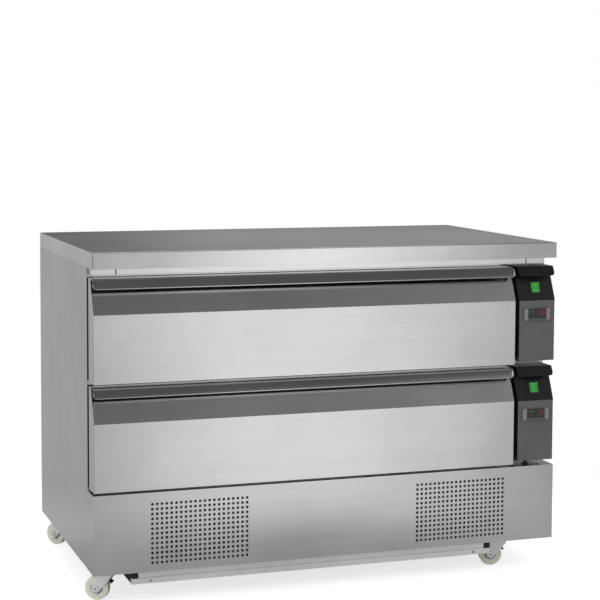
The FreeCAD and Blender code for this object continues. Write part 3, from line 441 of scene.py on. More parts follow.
def tread_profile(half_width, inner, outer):
    """The tread's section in (along, out): up one side, over the crown, down the other side.
    A side dips by depth * (1 + cos(pi * u)) / 2 in its groove, u being the distance from the groove's
    middle over its half width. The crown is a quarter ellipse at each edge."""
    groove_at, groove_half, groove_deep = inner + 0.53 * (outer - inner), 1.6 * MM, 0.9 * MM
    radius = np.linspace(inner, outer - TREAD_CROWN, 26)
    dip = groove_deep * (1 + np.cos(math.pi * np.clip(np.abs(radius - groove_at) / groove_half, 0, 1))) / 2
    lip = 0.5 * MM * (1 - eased(radius, inner, inner + 1.2 * MM))
    quarter = np.linspace(0.0, math.pi / 2, 7)[1:]
    rim_out = outer - TREAD_CROWN * (1 - np.sin(quarter))
    rim_in = TREAD_CROWN * (1 - np.cos(quarter))
    side = np.concatenate([half_width - dip - lip, half_width - rim_in])
    one = np.stack([side, np.concatenate([radius, rim_out])], -1)
    return np.concatenate([one, (one * (-1, 1))[::-1]])


def hub_profile(reach, inner, boss, outer, rim):
    """The hub's section in (along, out): the boss stands out to reach, falls to the thin web by a
    smooth step, and rises to the rim by another."""
    radius = np.concatenate([np.linspace(inner, boss, 6), np.linspace(boss, outer, 26)[1:]])
    web = rim - HUB_WEB
    height = reach + (web - reach) * eased(radius, boss - 1.0 * MM, boss + 1.6 * MM)
    height += HUB_WEB * eased(radius, outer - 3.2 * MM, outer - 1.4 * MM)
    one = np.stack([height, radius], -1)
    return np.concatenate([one, (one * (-1, 1))[::-1]])


for castor in castors:
    axle = joints[castor + "_wheel_spin"]
    tread, hub = "castor_tread_" + castor, "castor_hub_" + castor
    axis, low, high, inner, outer = measured_ring(tread, axle)
    centre = np.array(axle["pos_m"]) + axis * (low + high) / 2
    half = (high - low) / 2
    profile = tread_profile(half, inner - TREAD_LAP, outer - TREAD_EASE)
    mesh_piece(tread + "_turned", *turned(profile, centre, axis, 120), body_of[tread], slot_of[tread], tread)
    axis, low, high, bore, rim = measured_ring(hub, axle)
    profile = hub_profile((high - low) / 2, bore, bore + 4.4 * MM, rim - TREAD_LAP + 0.3 * MM,
                          half - 0.8 * MM)
    mesh_piece(hub + "_turned", *turned(profile, centre, axis, 72), body_of[hub], slot_of[hub], hub)
print("tread radii in mm:", round((inner - TREAD_LAP) / MM, 2), round(outer / MM, 2))

# %% [markdown]
# ## Axle heads and brake pedals
# The wheel's bolt ends in a round head with a pressed ring, and the two front castors have a small
# black lever that locks the wheel. Both are only a few millimetres across. The head is one more
# turned profile. The lever's thickness is one function of the way along it, thick at the pin, thin in
# the middle and thick again at the tip, and its sides are rounded by drawing the outline in.

# %% Axle heads
HEAD_RADIUS = 7.4 * MM
HEAD_HIGH = 4.3 * MM


def cap_profile(base, way):
    """The head's section in (along, out): a dome of height high * (1 - 0.25 r^2), less a ring
    depth * exp(-((r - 0.58) / 0.1)^2), from the middle out, then the rim and the flat back."""
    share = np.linspace(0.0, 1.0, 22)
    high = HEAD_HIGH * (1 - 0.25 * share ** 2) - 0.7 * MM * np.exp(-((share - 0.58) / 0.1) ** 2)
    face = np.stack([base + way * high, np.maximum(HEAD_RADIUS * share, 0.02 * MM)], -1)
    back = np.array([(base, HEAD_RADIUS), (base, 0.02 * MM)])
    return np.concatenate([face, back])


for castor in castors:
    axle = joints[castor + "_wheel_spin"]
    fork = "castor_fork_" + castor
    axis = np.array(axle["axis"], float)
    offset = vertex_places(fork) - np.array(axle["pos_m"])
    along = offset @ axis
    near_axle = np.linalg.norm(offset - along[:, None] * axis, axis=1) < 7.1 * MM
    ends = along[near_axle].min(), along[near_axle].max()
    caps = [turned(cap_profile(end - way * 4.0 * MM, way), axle["pos_m"], axis, 40)
            for end, way in zip(ends, (-1, 1))]
    mesh_piece(fork + "_axle_heads", *gathered(caps), body_of[fork], slot_of[fork])
print("axle ends in mm from the wheel's middle:", [round(end / MM, 1) for end in ends])

# %% Brake pedals
PEDAL_REACH = 10.5 * MM
PEDAL_HEEL = 4.5 * MM
PEDAL_SAG = 1.5 * MM
PEDAL_HALF_WIDTH = 9.0 * MM
PEDAL_ROUND = 1.4 * MM


def pedal_outline(steps=30):
    """Half thickness along the lever, from behind the pin at u = 0 to the tip at u = 1:
    end * (1.6 + 2.6 * exp(-((u - 0.24) / 0.18)^2) + 1.5 * exp(-((u - 0.9) / 0.14)^2)) mm, where end is
    sqrt(1 - |2 u - 1|^8) and closes both ends round."""
    share = (1 - np.cos(np.linspace(0.0, math.pi, steps))) / 2
    closing = np.sqrt(np.clip(1 - np.abs(2 * share - 1) ** 8, 0.0, 1.0))
    thick = 1.6 + 2.6 * np.exp(-((share - 0.24) / 0.18) ** 2) + 1.5 * np.exp(-((share - 0.9) / 0.14) ** 2)
    along = -PEDAL_HEEL + share * (PEDAL_REACH + PEDAL_HEEL)
    sag = -PEDAL_SAG * share ** 2
    over = np.stack([along, sag + closing * thick * MM], -1)
    under = np.stack([along, sag - closing * thick * MM], -1)[::-1]
    return np.concatenate([over[:-1], under[:-1]])


def brake_pedal(castor):
    """The outline carried across the lever's width, drawn in by round * (1 - cos t) near both sides."""
    name = "brake_pedal_" + castor
    pin = joints[castor + "_brake_pedal"]
    axis = np.array(pin["axis"], float)
    offset = vertex_places(name) - np.array(pin["pos_m"])
    flat = offset - (offset @ axis)[:, None] * axis
    far = flat[np.linalg.norm(flat, axis=1) > 0.8 * np.linalg.norm(flat, axis=1).max()].mean(0)
    ahead = far / np.linalg.norm(far)
    over = np.cross(axis, ahead)
    over *= np.sign(over[2])
    outline = pedal_outline()
    middle = outline.mean(0)
    turn = np.linspace(-math.pi / 2, math.pi / 2, 12)
    stations = np.sign(turn) * (PEDAL_HALF_WIDTH - PEDAL_ROUND) + PEDAL_ROUND * np.sin(turn)
    drawn_in = 1 - 0.28 * (1 - np.cos(turn))
    flat_points = middle + (outline - middle)[None] * drawn_in[:, None, None]
    points = (np.array(pin["pos_m"]) + flat_points[..., :1] * ahead + flat_points[..., 1:] * over
              + stations[:, None, None] * axis)
    rows, columns = points.shape[:2]
    faces = grid_quads(rows, columns, close_columns=True)
    faces += [list(range(columns)), list(range((rows - 1) * columns, rows * columns))]
    return mesh_piece(name + "_lever", points, faces, body_of[name], slot_of[name], name)


for castor in ("front_left", "front_right"):
    brake_pedal(castor)
print("pedal reach in mm:", PEDAL_REACH / MM)

# %% [markdown]
# ## Screws
# The few screws that show are pan heads: a low dome with a cross pressed into it. A plain disc would
# do from far away, but the dome catches a small light of its own. One height formula makes a round
# grid into such a head, and the same grid is used at each screw of the frame.

# %% Pan heads
HEAD_RINGS = 12
HEAD_STEPS = 40


def separate_places(name):
    """The corner points of each loose solid of a part, found by growing along its edges."""
    work = bmesh.new()
    work.from_mesh(nodes[name].data)
    bmesh.ops.remove_doubles(work, verts=work.verts, dist=MERGE_DISTANCE)
    left, solids = set(work.verts), []
    while left:
        front, solid = [left.pop()], []
        while front:
            corner = front.pop()
            solid.append(corner.co[:])
            linked = {edge.other_vert(corner) for edge in corner.link_edges} & left
            left -= linked
            front += linked
        solids.append(np.array(solid))
    work.free()
    return solids


def pan_head(low, high, facing):
    """Height = full * sqrt(1 - (0.86 r)^2) over a round grid of radius r from 0 to 1, less a cross
    whose two bars are exp(-(across / 0.13)^2) wide and end at r = 0.55."""
    radius = (high[0] - low[0]) / 2
    full = high[1] - low[1]
    share = np.linspace(0.0, 1.0, HEAD_RINGS)[1:, None]
    turn = np.linspace(0.0, 2 * math.pi, HEAD_STEPS, endpoint=False)[None, :]
    across, upward = share * np.cos(turn), share * np.sin(turn)
    bars = np.maximum(np.exp(-(across / 0.13) ** 2), np.exp(-(upward / 0.13) ** 2))
    cross = bars * (1 - eased(share, 0.45, 0.62))
    height = full * (np.sqrt(1 - (0.86 * share) ** 2) - 0.45 * cross)
    back_y = high[1] if facing < 0 else low[1]
    middle = (low + high) / 2
    head = np.stack([middle[0] + radius * across, back_y + facing * height, middle[2] + radius * upward], -1)
    foot = head[-1] * (1, 0, 1) + (0, back_y, 0)
    tip = np.array([[middle[0], back_y + facing * full * 0.55, middle[2]]])
    points = np.concatenate([head.reshape(-1, 3), foot, tip])
    faces = grid_quads(HEAD_RINGS, HEAD_STEPS, close_columns=True)
    last = len(points) - 1
    faces += [[last, step, (step + 1) % HEAD_STEPS] for step in range(HEAD_STEPS)]
    faces += [list(range(last - HEAD_STEPS, last))]
    return points, faces


heads = []
for solid in separate_places("small_screws"):
    low, high = solid.min(0), solid.max(0)
    heads.append(pan_head(low, high, -1 if high[1] < 0 else 1))
mesh_piece("small_screws_domed", *gathered(heads), body_of["small_screws"], slot_of["small_screws"],
           "small_screws")
print("screws:", len(heads))

# %% [markdown]
# ## Air baffles
# Each fan draws air through the holes of the lower panel and then through a condenser. A folded strip
# beside the condenser keeps the air from slipping past it. It's hardly seen, but without it one could
# look past the condenser and out under the unit. It is one folded outline carried straight up.
# The foam above the machines ends behind the top slot of each group in the back panel. It has a
# facing of galvanised sheet there, so that no bare foam shows.

# %% Folded strips beside the condensers
BAFFLE_SHEET = 1.2 * MM
BAFFLE_FLANGE = 12.0 * MM
condenser_places = vertex_places("condensers")
panel_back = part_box("lower_front_panel")[0][1] + 3.0 * MM
for side, here in (("left", condenser_places[:, 0] < 0), ("right", condenser_places[:, 0] > 0)):
    low, high = condenser_places[here].min(0), condenser_places[here].max(0)
    start, end = high[0] + 0.8 * MM, low[1] + 6.0 * MM
    outline = np.array([(start, end), (start, panel_back), (start + BAFFLE_FLANGE, panel_back),
                        (start + BAFFLE_FLANGE, panel_back + BAFFLE_SHEET),
                        (start + BAFFLE_SHEET, panel_back + BAFFLE_SHEET), (start + BAFFLE_SHEET, end)])
    levels_up = np.array([low[2], high[2] + 8.0 * MM])
    points = np.concatenate([np.insert(outline, 2, height, axis=1) for height in levels_up])
    count = len(outline)
    faces = grid_quads(2, count, close_columns=True)
    faces += [list(range(count)), list(range(count, 2 * count))]
    mesh_piece("air_baffle_" + side, points, faces, "cabinet", "galvanised")
print("baffles reach from", round(panel_back / MM, 1), "to", round(end / MM, 1), "mm in depth")

# %% Facing behind the top slots
FACING = 0.4 * MM
TOP_SLOT = (258.0 * MM, 265.0 * MM)
FOAM_STEP = 1.0 * MM
back_places = vertex_places("back_panel")
top_slots = back_places[(back_places[:, 2] > TOP_SLOT[0]) & (back_places[:, 2] < TOP_SLOT[1])]
facings = []
for here in (top_slots[:, 0] < 0, top_slots[:, 0] > 0):
    low, high = top_slots[here].min(0), top_slots[here].max(0)
    facings.append(strip(low[0], high[0], low[2] + FOAM_STEP, high[2], low[1] + FACING, low[1]))
mesh_piece("foam_facings", *gathered(facings), "cabinet", "galvanised")
print("faced slots:", len(facings))

# %% [markdown]
# ## Display, keys and switch marks
# Each thermostat shows a temperature in red digits of seven strokes, with two small signal lights
# beside them and a column of pressed keys on either side. The digits glow behind a dark window, and
# the keys are only thin printed outlines. All of them could be painted by a pattern, but a pattern
# can't follow such small shapes. So each stroke is its own flat bar with round ends, a tenth of a
# millimetre thick, lying on the surface that carries it.

# %% Flat strokes and outlines
STROKE_RISE = 0.12 * MM
END_STEPS = 7


def stroke(start, end, width):
    """The outline of a bar with round ends, in the plane: two half circles of radius width / 2 round
    the two ends, joined by the straight sides."""
    start, end = np.asarray(start, float), np.asarray(end, float)
    ahead = math.atan2(*(end - start)[::-1])
    turn = np.linspace(-math.pi / 2, math.pi / 2, END_STEPS)[:, None]
    far = end + width / 2 * np.hstack([np.cos(ahead + turn), np.sin(ahead + turn)])
    near = start - width / 2 * np.hstack([np.cos(ahead + turn), np.sin(ahead + turn)])
    return np.concatenate([far, near])


def raised(outline, front_y, rise=STROKE_RISE):
    """A flat outline in (x, z) made a thin closed plate that stands out of the surface at front_y."""
    count = len(outline)
    points = [np.insert(outline, 1, y, axis=1) for y in (front_y - rise, front_y + rise)]
    faces = [list(range(count)), list(range(2 * count - 1, count - 1, -1))]
    step = np.arange(count)
    after = (step + 1) % count
    faces += np.stack([step, after, after + count, step + count], -1).tolist()
    return np.concatenate(points), faces


def key_outline(centre, size, width, front_y, corner=1.1 * MM, rise=STROKE_RISE):
    """A thin raised line round a key: a flat section carried round a rectangle with round corners."""
    centre, size = np.asarray(centre), np.asarray(size)
    path, ways = rounded_rectangle(centre - size / 2, centre + size / 2, corner, 5)
    section = np.array([(-width / 2, rise), (-width / 2, -rise), (width / 2, -rise), (width / 2, rise)])
    spread = path[:, None, :] + ways[:, None, :] * section[None, :, :1]
    deep = np.broadcast_to(front_y + section[None, :, 1:], (*spread.shape[:2], 1))
    points = np.concatenate([spread[..., :1], deep, spread[..., 1:]], -1)
    return points.reshape(-1, 3), grid_quads(*spread.shape[:2], True, True)


# %% Temperature digits and signal lights
DIGIT_SIZE = np.array([6.6, 13.0]) * MM
DIGIT_SLANT = 0.14
DIGIT_STROKE = 1.25 * MM
DIGIT_PLACES = (8.2 * MM, 16.0 * MM)
SEGMENTS = {
    "a": ((0, 1), (1, 1)), "b": ((1, 1), (1, 0.5)), "c": ((1, 0.5), (1, 0)), "d": ((0, 0), (1, 0)),
    "e": ((0, 0), (0, 0.5)), "f": ((0, 0.5), (0, 1)), "g": ((0, 0.5), (1, 0.5)),
}
DIGITS = {"1": "bc", "7": "abc"}
WINDOW_HEIGHT = 25.0 * MM
BEZEL_HEIGHT = 34.0 * MM
SIGNAL_PLACES = ((-17.0, 4.9), (-12.4, 4.9))
finish_of = {}


def seven_segments(digit, centre, front_y):
    """The lit bars of one digit: each runs between two points of the digit's box, drawn in from its
    ends by 0.16 of its length, and leans by slant * height."""
    bars = []
    for segment in DIGITS[digit]:
        ends = np.array(SEGMENTS[segment], float)
        ends += (ends[::-1] - ends) * 0.16
        ends = (ends - 0.5) * DIGIT_SIZE
        ends[:, 0] += DIGIT_SLANT * ends[:, 1]
        bars.append(raised(stroke(*(centre + ends), DIGIT_STROKE), front_y))
    return bars


window_low, window_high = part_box("thermostat_windows")
window_height = WINDOW_HEIGHT
window_face = window_low[1]
bezel_low, bezel_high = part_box("thermostats")
bezel_height = BEZEL_HEIGHT
window_middle = {"lower": (window_low[2] + window_height / 2), "upper": (window_high[2] - window_height / 2)}
bezel_middle = {"lower": (bezel_low[2] + bezel_height / 2), "upper": (bezel_high[2] - bezel_height / 2)}
window_x = (window_low[0] + window_high[0]) / 2
for level in levels:
    middle = np.array([window_x, window_middle[level]])
    bars = []
    for place, digit in zip(DIGIT_PLACES, "17"):
        bars += seven_segments(digit, middle + (place, 0.0), window_face)
    piece = mesh_piece(level + "_digits", *gathered(bars), "cabinet", "window_dark")
    finish_of[piece.name] = "digit_red"
    lights = []
    for x, z in SIGNAL_PLACES:
        left, right = (middle + np.array([x + way, z]) * MM for way in (-0.9, 0.9))
        lights.append(raised(stroke(left, right, 1.5 * MM), window_face))
    piece = mesh_piece(level + "_signals", *gathered(lights), "cabinet", "window_dark")
    finish_of[piece.name] = "signal_yellow"
print("digit bars:", len(bars))

# %% Keys round the display
KEY_SIZE = np.array([8.0, 6.0]) * MM
KEY_PITCH = 7.6 * MM
KEY_COLUMNS = (-32.0 * MM, 32.0 * MM)
KEY_LINE = 0.7 * MM
KEYS = 4
bezel_face = bezel_low[1]
for level in levels:
    middle = np.array([window_x, bezel_middle[level]])
    outlines = []
    for side in KEY_COLUMNS:
        for key in range(KEYS):
            centre = middle + (side, (key - (KEYS - 1) / 2) * KEY_PITCH)
            outlines.append(key_outline(centre, KEY_SIZE, KEY_LINE, bezel_face))
            lean = 1.3 * MM if key % 2 else -1.3 * MM
            tip = centre + (0.0, lean)
            for way in (-1.6, 1.6):
                foot = centre + np.array([way * MM, -lean])
                outlines.append(raised(stroke(foot, tip, 0.5 * MM), bezel_face))
    piece = mesh_piece(level + "_keys", *gathered(outlines), "cabinet", "bezel_black")
    finish_of[piece.name] = "key_print"
print("key outlines in each thermostat:", 2 * KEYS)

# %% Marks on the rockers
ROCKER_LEAN = math.radians(-15.8)
MARK_RISE = 0.15 * MM


def on_rocker(level, points):
    """Points drawn on a level rocker, turned with it round its pivot and set in its place."""
    pivot = np.array(joints[level + "_rocker_tilt"]["pos_m"])
    cos, sin = math.cos(ROCKER_LEAN), math.sin(ROCKER_LEAN)
    turn = np.array([[1, 0, 0], [0, cos, -sin], [0, sin, cos]])
    return (points - (0.0, 4.5 * MM, 0.0)) @ turn.T + pivot


def pad_face(height):
    """How far forward the rocker's face lies at a height: it falls from each end to the middle."""
    return (-1.2 - 2.8 * np.abs(height) / (13.0 * MM)) * MM


for level in levels:
    bar = raised(stroke((0.0, 4.6 * MM), (0.0, 9.4 * MM), 0.9 * MM), 0.0, MARK_RISE)
    ring = key_outline((0.0, -7.0 * MM), (4.8 * MM, 4.8 * MM), 0.8 * MM, 0.0, 2.3 * MM, MARK_RISE)
    points, faces = gathered([bar, ring])
    points[:, 1] += pad_face(points[:, 2])
    piece = mesh_piece(level + "_rocker_marks", on_rocker(level, points), faces, "rocker_" + level,
                       "lit_green")
    finish_of[piece.name] = "mark_white"
print("marked rockers:", len(levels))

# %% [markdown]
# ## Finishes: effects that several materials share
# Brushed grain, soft blotches, lighter edges (partly rubbed wear, partly a painted edge highlight) and
# the fine texture of moulded plastic come back in many materials. Each could be drawn again every
# time, but a node group is built once and placed with other values. A group only puts out masks and
# heights. The shader itself stays in the material.

# %% Small tools for node trees
def put(tree, kind, settings=None, **values):
    """A node of that kind. A value that is another node's socket is linked, any other is set.
    An underscore in a name stands for a space, and i0, i1 and so on name sockets by number."""
    node = tree.nodes.new(kind)
    for key, value in (settings or {}).items():
        setattr(node, key, value)
    for key, value in values.items():
        numbered = key[0] == "i" and key[1:].isdigit()
        socket = node.inputs[int(key[1:])] if numbered else node.inputs[key.replace("_", " ")]
        if isinstance(value, bpy.types.NodeSocket):
            tree.links.new(value, socket)
        else:
            socket.default_value = value
    return node


def math_node(tree, operation, first, second=0.0, clamp=False):
    """One step of arithmetic in a node tree."""
    node = put(tree, "ShaderNodeMath", {"operation": operation, "use_clamp": clamp}, i0=first, i1=second)
    return node.outputs[0]


def between(tree, value, low, high, bottom, top, smooth=True):
    """A smooth or straight step: from bottom to top as the value goes from low to high."""
    kind = "SMOOTHSTEP" if smooth else "LINEAR"
    return put(tree, "ShaderNodeMapRange", {"interpolation_type": kind}, Value=value, From_Min=low,
               From_Max=high, To_Min=bottom, To_Max=top).outputs["Result"]


def new_group(name, inputs, outputs):
    """An empty node group with named inputs, given as (name, kind, default), and named outputs."""
    group = bpy.data.node_groups.new(name, "ShaderNodeTree")
    for label, kind, default in inputs:
        socket = group.interface.new_socket(name=label, in_out="INPUT", socket_type=kind)
        socket.default_value = default
    for label in outputs:
        group.interface.new_socket(name=label, in_out="OUTPUT", socket_type="NodeSocketFloat")
    return group, group.nodes.new("NodeGroupInput"), group.nodes.new("NodeGroupOutput")


# %% The four shared effects
def grain_group():
    """Brushed grain: two noises stretched along one direction, fine lines over broader streaks."""
    group, given, out = new_group("Brushed grain", [
        ("Stretch", "NodeSocketVector", (3.0, 900.0, 900.0)),
        ("Streaks", "NodeSocketVector", (1.2, 60.0, 60.0))], ["Fine", "Broad"])
    place = put(group, "ShaderNodeTexCoord").outputs["Object"]
    for label, socket, detail in (("Fine", "Stretch", 3.0), ("Broad", "Streaks", 2.0)):
        scaled = put(group, "ShaderNodeVectorMath", {"operation": "MULTIPLY"}, i0=place,
                     i1=given.outputs[socket])
        noise = put(group, "ShaderNodeTexNoise", Vector=scaled.outputs[0], Scale=1.0, Detail=detail)
        group.links.new(noise.outputs["Fac"], out.inputs[label])
    return group


def cloud_group():
    """Soft blotches of a chosen size, from 0 to 1, for finger grease and uneven polish."""
    group, given, out = new_group("Soft blotches", [
        ("Scale", "NodeSocketFloat", 4.0), ("Low", "NodeSocketFloat", 0.35),
        ("High", "NodeSocketFloat", 0.65)], ["Mask"])
    place = put(group, "ShaderNodeTexCoord").outputs["Object"]
    noise = put(group, "ShaderNodeTexNoise", Vector=place, Scale=given.outputs["Scale"], Detail=3.0,
                Roughness=0.55)
    mask = put(group, "ShaderNodeMapRange", {"interpolation_type": "SMOOTHSTEP"},
               Value=noise.outputs["Fac"], From_Min=given.outputs["Low"], From_Max=given.outputs["High"])
    group.links.new(mask.outputs["Result"], out.inputs["Mask"])
    return group


def rub_and_highlight_group():
    """Lighter edges, partly rubbed by hands and cloths and partly a painted edge highlight: 1 where a
    rounded normal leaves the true one.
    """
    group, given, out = new_group("Edge wear", [
        ("Radius", "NodeSocketFloat", 0.001), ("Breakup", "NodeSocketFloat", 60.0)], ["Mask"])
    rounded = put(group, "ShaderNodeBevel", {"samples": 4}, Radius=given.outputs["Radius"])
    true = put(group, "ShaderNodeNewGeometry")
    same = put(group, "ShaderNodeVectorMath", {"operation": "DOT_PRODUCT"}, i0=rounded.outputs[0],
               i1=true.outputs["Normal"])
    edge = put(group, "ShaderNodeMapRange", Value=same.outputs["Value"], From_Min=0.995, From_Max=0.86)
    place = put(group, "ShaderNodeTexCoord").outputs["Object"]
    noise = put(group, "ShaderNodeTexNoise", Vector=place, Scale=given.outputs["Breakup"], Detail=4.0)
    broken = math_node(group, "MULTIPLY", edge.outputs["Result"], noise.outputs["Fac"])
    group.links.new(math_node(group, "MULTIPLY", broken, 1.6, clamp=True), out.inputs["Mask"])
    return group


def moulded_group():
    """The fine sand-blasted texture of a plastic mould: small cells under finer noise."""
    group, given, out = new_group("Moulded texture", [("Scale", "NodeSocketFloat", 1500.0)], ["Height"])
    place = put(group, "ShaderNodeTexCoord").outputs["Object"]
    cells = put(group, "ShaderNodeTexVoronoi", Vector=place, Scale=given.outputs["Scale"])
    noise = put(group, "ShaderNodeTexNoise", Vector=place, Scale=given.outputs["Scale"], Detail=2.0)
    both = math_node(group, "ADD", cells.outputs["Distance"], noise.outputs["Fac"])
    group.links.new(both, out.inputs["Height"])
    return group


shared = {"grain": grain_group(), "cloud": cloud_group(), "rub_and_highlight": rub_and_highlight_group(), "moulded": moulded_group()}
print("shared effects:", ", ".join(group.name for group in shared.values()))

# %% [markdown]
# ## Stainless steel and other metals
# The casing is brushed sheet: polishing belts leave fine parallel lines, so a reflection is drawn out
# across the lines and stays tighter along them. A picture of a scratched plate could be wrapped
# round it, but then every panel needs unfolding. Stretched noise needs nothing but the direction of
# the grain, so one function makes all the metal, with a direction, a tone and a roughness for each.
# Zinc plate and galvanised sheet are duller: they scatter part of the light like paint does.

# %% Metal materials
materials = {}


def start(name):
    """An empty material and its node tree, with an output node."""
    material = bpy.data.materials.new(name)
    material.use_nodes = True
    material.node_tree.nodes.clear()
    materials[name] = material
    return material.node_tree, put(material.node_tree, "ShaderNodeOutputMaterial")


def effect(tree, name, **values):
    """A shared effect placed in a material, with its own values."""
    return put(tree, "ShaderNodeGroup", {"node_tree": shared[name]}, **values).outputs


def varied(tree, value, mask, low, high):
    """The value times something between low and high, as the mask goes from 0 to 1."""
    return math_node(tree, "MULTIPLY", between(tree, mask, 0.0, 1.0, low, high, False), value)


def tinted(tree, color, mask, low, high):
    """A colour made darker or lighter, as the mask goes from 0 to 1."""
    factor = between(tree, mask, 0.0, 1.0, low, high, False)
    scaled = put(tree, "ShaderNodeVectorMath", {"operation": "SCALE"}, i0=(*color,), Scale=factor)
    return scaled.outputs[0]


def brightened(tree, tone, mask, amount):
    """A colour with some white added where the mask is up."""
    mixed = put(tree, "ShaderNodeMix", {"data_type": "RGBA", "blend_type": "ADD"},
                Factor=math_node(tree, "MULTIPLY", mask, amount), i6=tone, i7=(1.0, 1.0, 1.0, 1.0))
    return mixed.outputs[2]


GRAIN = {"x": (1.0, 260.0, 260.0), "y": (260.0, 1.0, 260.0), "z": (260.0, 260.0, 1.0)}
TANGENT = {"x": (1.0, 0.0, 0.0), "y": (0.0, 1.0, 0.0), "z": (0.0, 0.0, 1.0)}


def metal(name, color, roughness, along, metallic=1.0, grain=0.02, anisotropic=0.3, blotch=5.0, uneven=0.05):
    """Sheet metal whose lines run along one of the three directions."""
    tree, out = start(name)
    lines = effect(tree, "grain", Stretch=tuple(3.2 * share for share in GRAIN[along]),
                   Streaks=tuple(0.9 * share ** 0.75 for share in GRAIN[along]))
    spots = effect(tree, "cloud", Scale=blotch)
    streaked = tinted(tree, color, lines["Broad"], 0.955, 1.045)
    spotted = put(tree, "ShaderNodeVectorMath", {"operation": "SCALE"}, i0=streaked,
                  Scale=between(tree, spots["Mask"], 0.0, 1.0, 1.0 - uneven, 1.0 + uneven, False)).outputs[0]
    # Edge mask for white added to the base colour: rubbed wear plus a painted edge highlight.
    edge_rub_and_highlight = effect(tree, "rub_and_highlight", Radius=0.0012)["Mask"]
    rough = varied(tree, varied(tree, roughness, lines["Fine"], 0.9, 1.1), spots["Mask"], 0.93, 1.07)
    bump = put(tree, "ShaderNodeBump", Strength=grain, Distance=0.0002, Height=lines["Fine"])
    direction = put(tree, "ShaderNodeCombineXYZ", **dict(zip("XYZ", TANGENT[along])))
    shader = put(tree, "ShaderNodeBsdfPrincipled", Base_Color=brightened(tree, spotted, edge_rub_and_highlight, 0.1),
                 Metallic=metallic, Roughness=rough, Anisotropic=anisotropic, Tangent=direction.outputs[0],
                 Normal=bump.outputs[0])
    tree.links.new(shader.outputs[0], out.inputs["Surface"])


metal("stainless_top", (0.73, 0.73, 0.73), 0.20, "x")
metal("stainless_side", (0.56, 0.56, 0.56), 0.20, "z")
metal("stainless_front", (0.60, 0.60, 0.60), 0.16, "x")
metal("stainless_rail", (0.60, 0.60, 0.60), 0.13, "x")
metal("stainless_panel", (0.57, 0.57, 0.57), 0.17, "x")
metal("stainless_inner", (0.56, 0.565, 0.57), 0.36, "x", blotch=9.0)
metal("galvanised", (0.60, 0.605, 0.61), 0.38, "x", metallic=0.8, anisotropic=0.1, blotch=14.0, uneven=0.04)
metal("screw_steel", (0.55, 0.55, 0.56), 0.26, "x", anisotropic=0.0)
metal("zinc", (0.88, 0.885, 0.89), 0.33, "z", metallic=0.4, anisotropic=0.0, blotch=60.0,
      uneven=0.02)
metal("tray_steel", (0.80, 0.80, 0.80), 0.30, "x", metallic=0.6, blotch=8.0)
metal("copper", (0.80, 0.42, 0.28), 0.30, "x", anisotropic=0.0, blotch=40.0)
metal("fin_aluminium", (0.60, 0.61, 0.62), 0.38, "z", anisotropic=0.1, blotch=80.0)
print("metals:", len(materials))

# %% [markdown]
# ## Plastic, rubber, foam and glass
# The housings are black plastic from a mould with a fine matt texture, and the grey plate is painted
# sheet. The wheels are two nylons, and the gasket is soft grey vinyl. One function covers all of
# them: a colour, a gloss, the size of the texture, and lighter edges, partly a little rubbed wear and
# partly a painted edge highlight.
# Digits, signal lights and rockers are lit from behind, so they also give off some light.

# %% Plastic and rubber materials
def moulded(name, color, roughness, texture=1500.0, bump=0.12, edge=0.05, specular=0.5, blotch=20.0,
            glow=None, glow_strength=0.0):
    """Moulded, painted or printed material with a fine texture, uneven gloss, and lighter edges from wear
    plus a painted highlight.
    """
    tree, out = start(name)
    height = effect(tree, "moulded", Scale=texture)["Height"]
    spots = effect(tree, "cloud", Scale=blotch)
    # Lighter edges: rubbed wear plus a painted edge highlight added to the colour.
    edge_rub_and_highlight = effect(tree, "rub_and_highlight", Radius=0.0008, Breakup=220.0)["Mask"]
    tone = brightened(tree, tinted(tree, color, spots["Mask"], 0.94, 1.06), edge_rub_and_highlight, edge)
    relief = put(tree, "ShaderNodeBump", Strength=bump, Distance=0.0001, Height=height)
    shader = put(tree, "ShaderNodeBsdfPrincipled", Base_Color=tone, Normal=relief.outputs[0],
                 Roughness=varied(tree, roughness, spots["Mask"], 0.92, 1.1), Specular_IOR_Level=specular)
    if glow:
        shader.inputs["Emission Color"].default_value = (*glow, 1.0)
        shader.inputs["Emission Strength"].default_value = glow_strength
    tree.links.new(shader.outputs[0], out.inputs["Surface"])


moulded("housing_black", (0.0085, 0.0085, 0.009), 0.30, edge=0.012, specular=0.4)
moulded("plate_grey", (0.105, 0.105, 0.107), 0.55, texture=2200.0, edge=0.05, specular=0.3)
moulded("bezel_black", (0.080, 0.080, 0.083), 0.42, edge=0.03, specular=0.3)
moulded("window_dark", (0.024, 0.022, 0.020), 0.14, texture=60.0, bump=0.0, edge=0.0, blotch=30.0)
moulded("key_print", (0.50, 0.50, 0.48), 0.5, edge=0.0)
moulded("mark_white", (0.30, 0.42, 0.30), 0.4, edge=0.0)
moulded("lit_green", (0.016, 0.13, 0.020), 0.22, texture=400.0, bump=0.03, blotch=150.0,
        glow=(0.008, 0.15, 0.010), glow_strength=1.0)
moulded("switch_black", (0.018, 0.018, 0.019), 0.4, edge=0.02, specular=0.4)
moulded("digit_red", (0.20, 0.025, 0.018), 0.4, edge=0.0, glow=(0.62, 0.035, 0.02), glow_strength=0.3)
moulded("signal_yellow", (0.14, 0.15, 0.03), 0.4, edge=0.0, glow=(0.20, 0.22, 0.03), glow_strength=0.35)
moulded("fan_black", (0.014, 0.014, 0.015), 0.4)
moulded("pot_black", (0.012, 0.012, 0.013), 0.35, texture=700.0)
moulded("black_rubber", (0.018, 0.018, 0.018), 0.62, texture=900.0, specular=0.3)
moulded("seal_rubber", (0.33, 0.33, 0.34), 0.55, texture=1200.0, edge=0.02)
moulded("pedal_black", (0.022, 0.022, 0.023), 0.45)
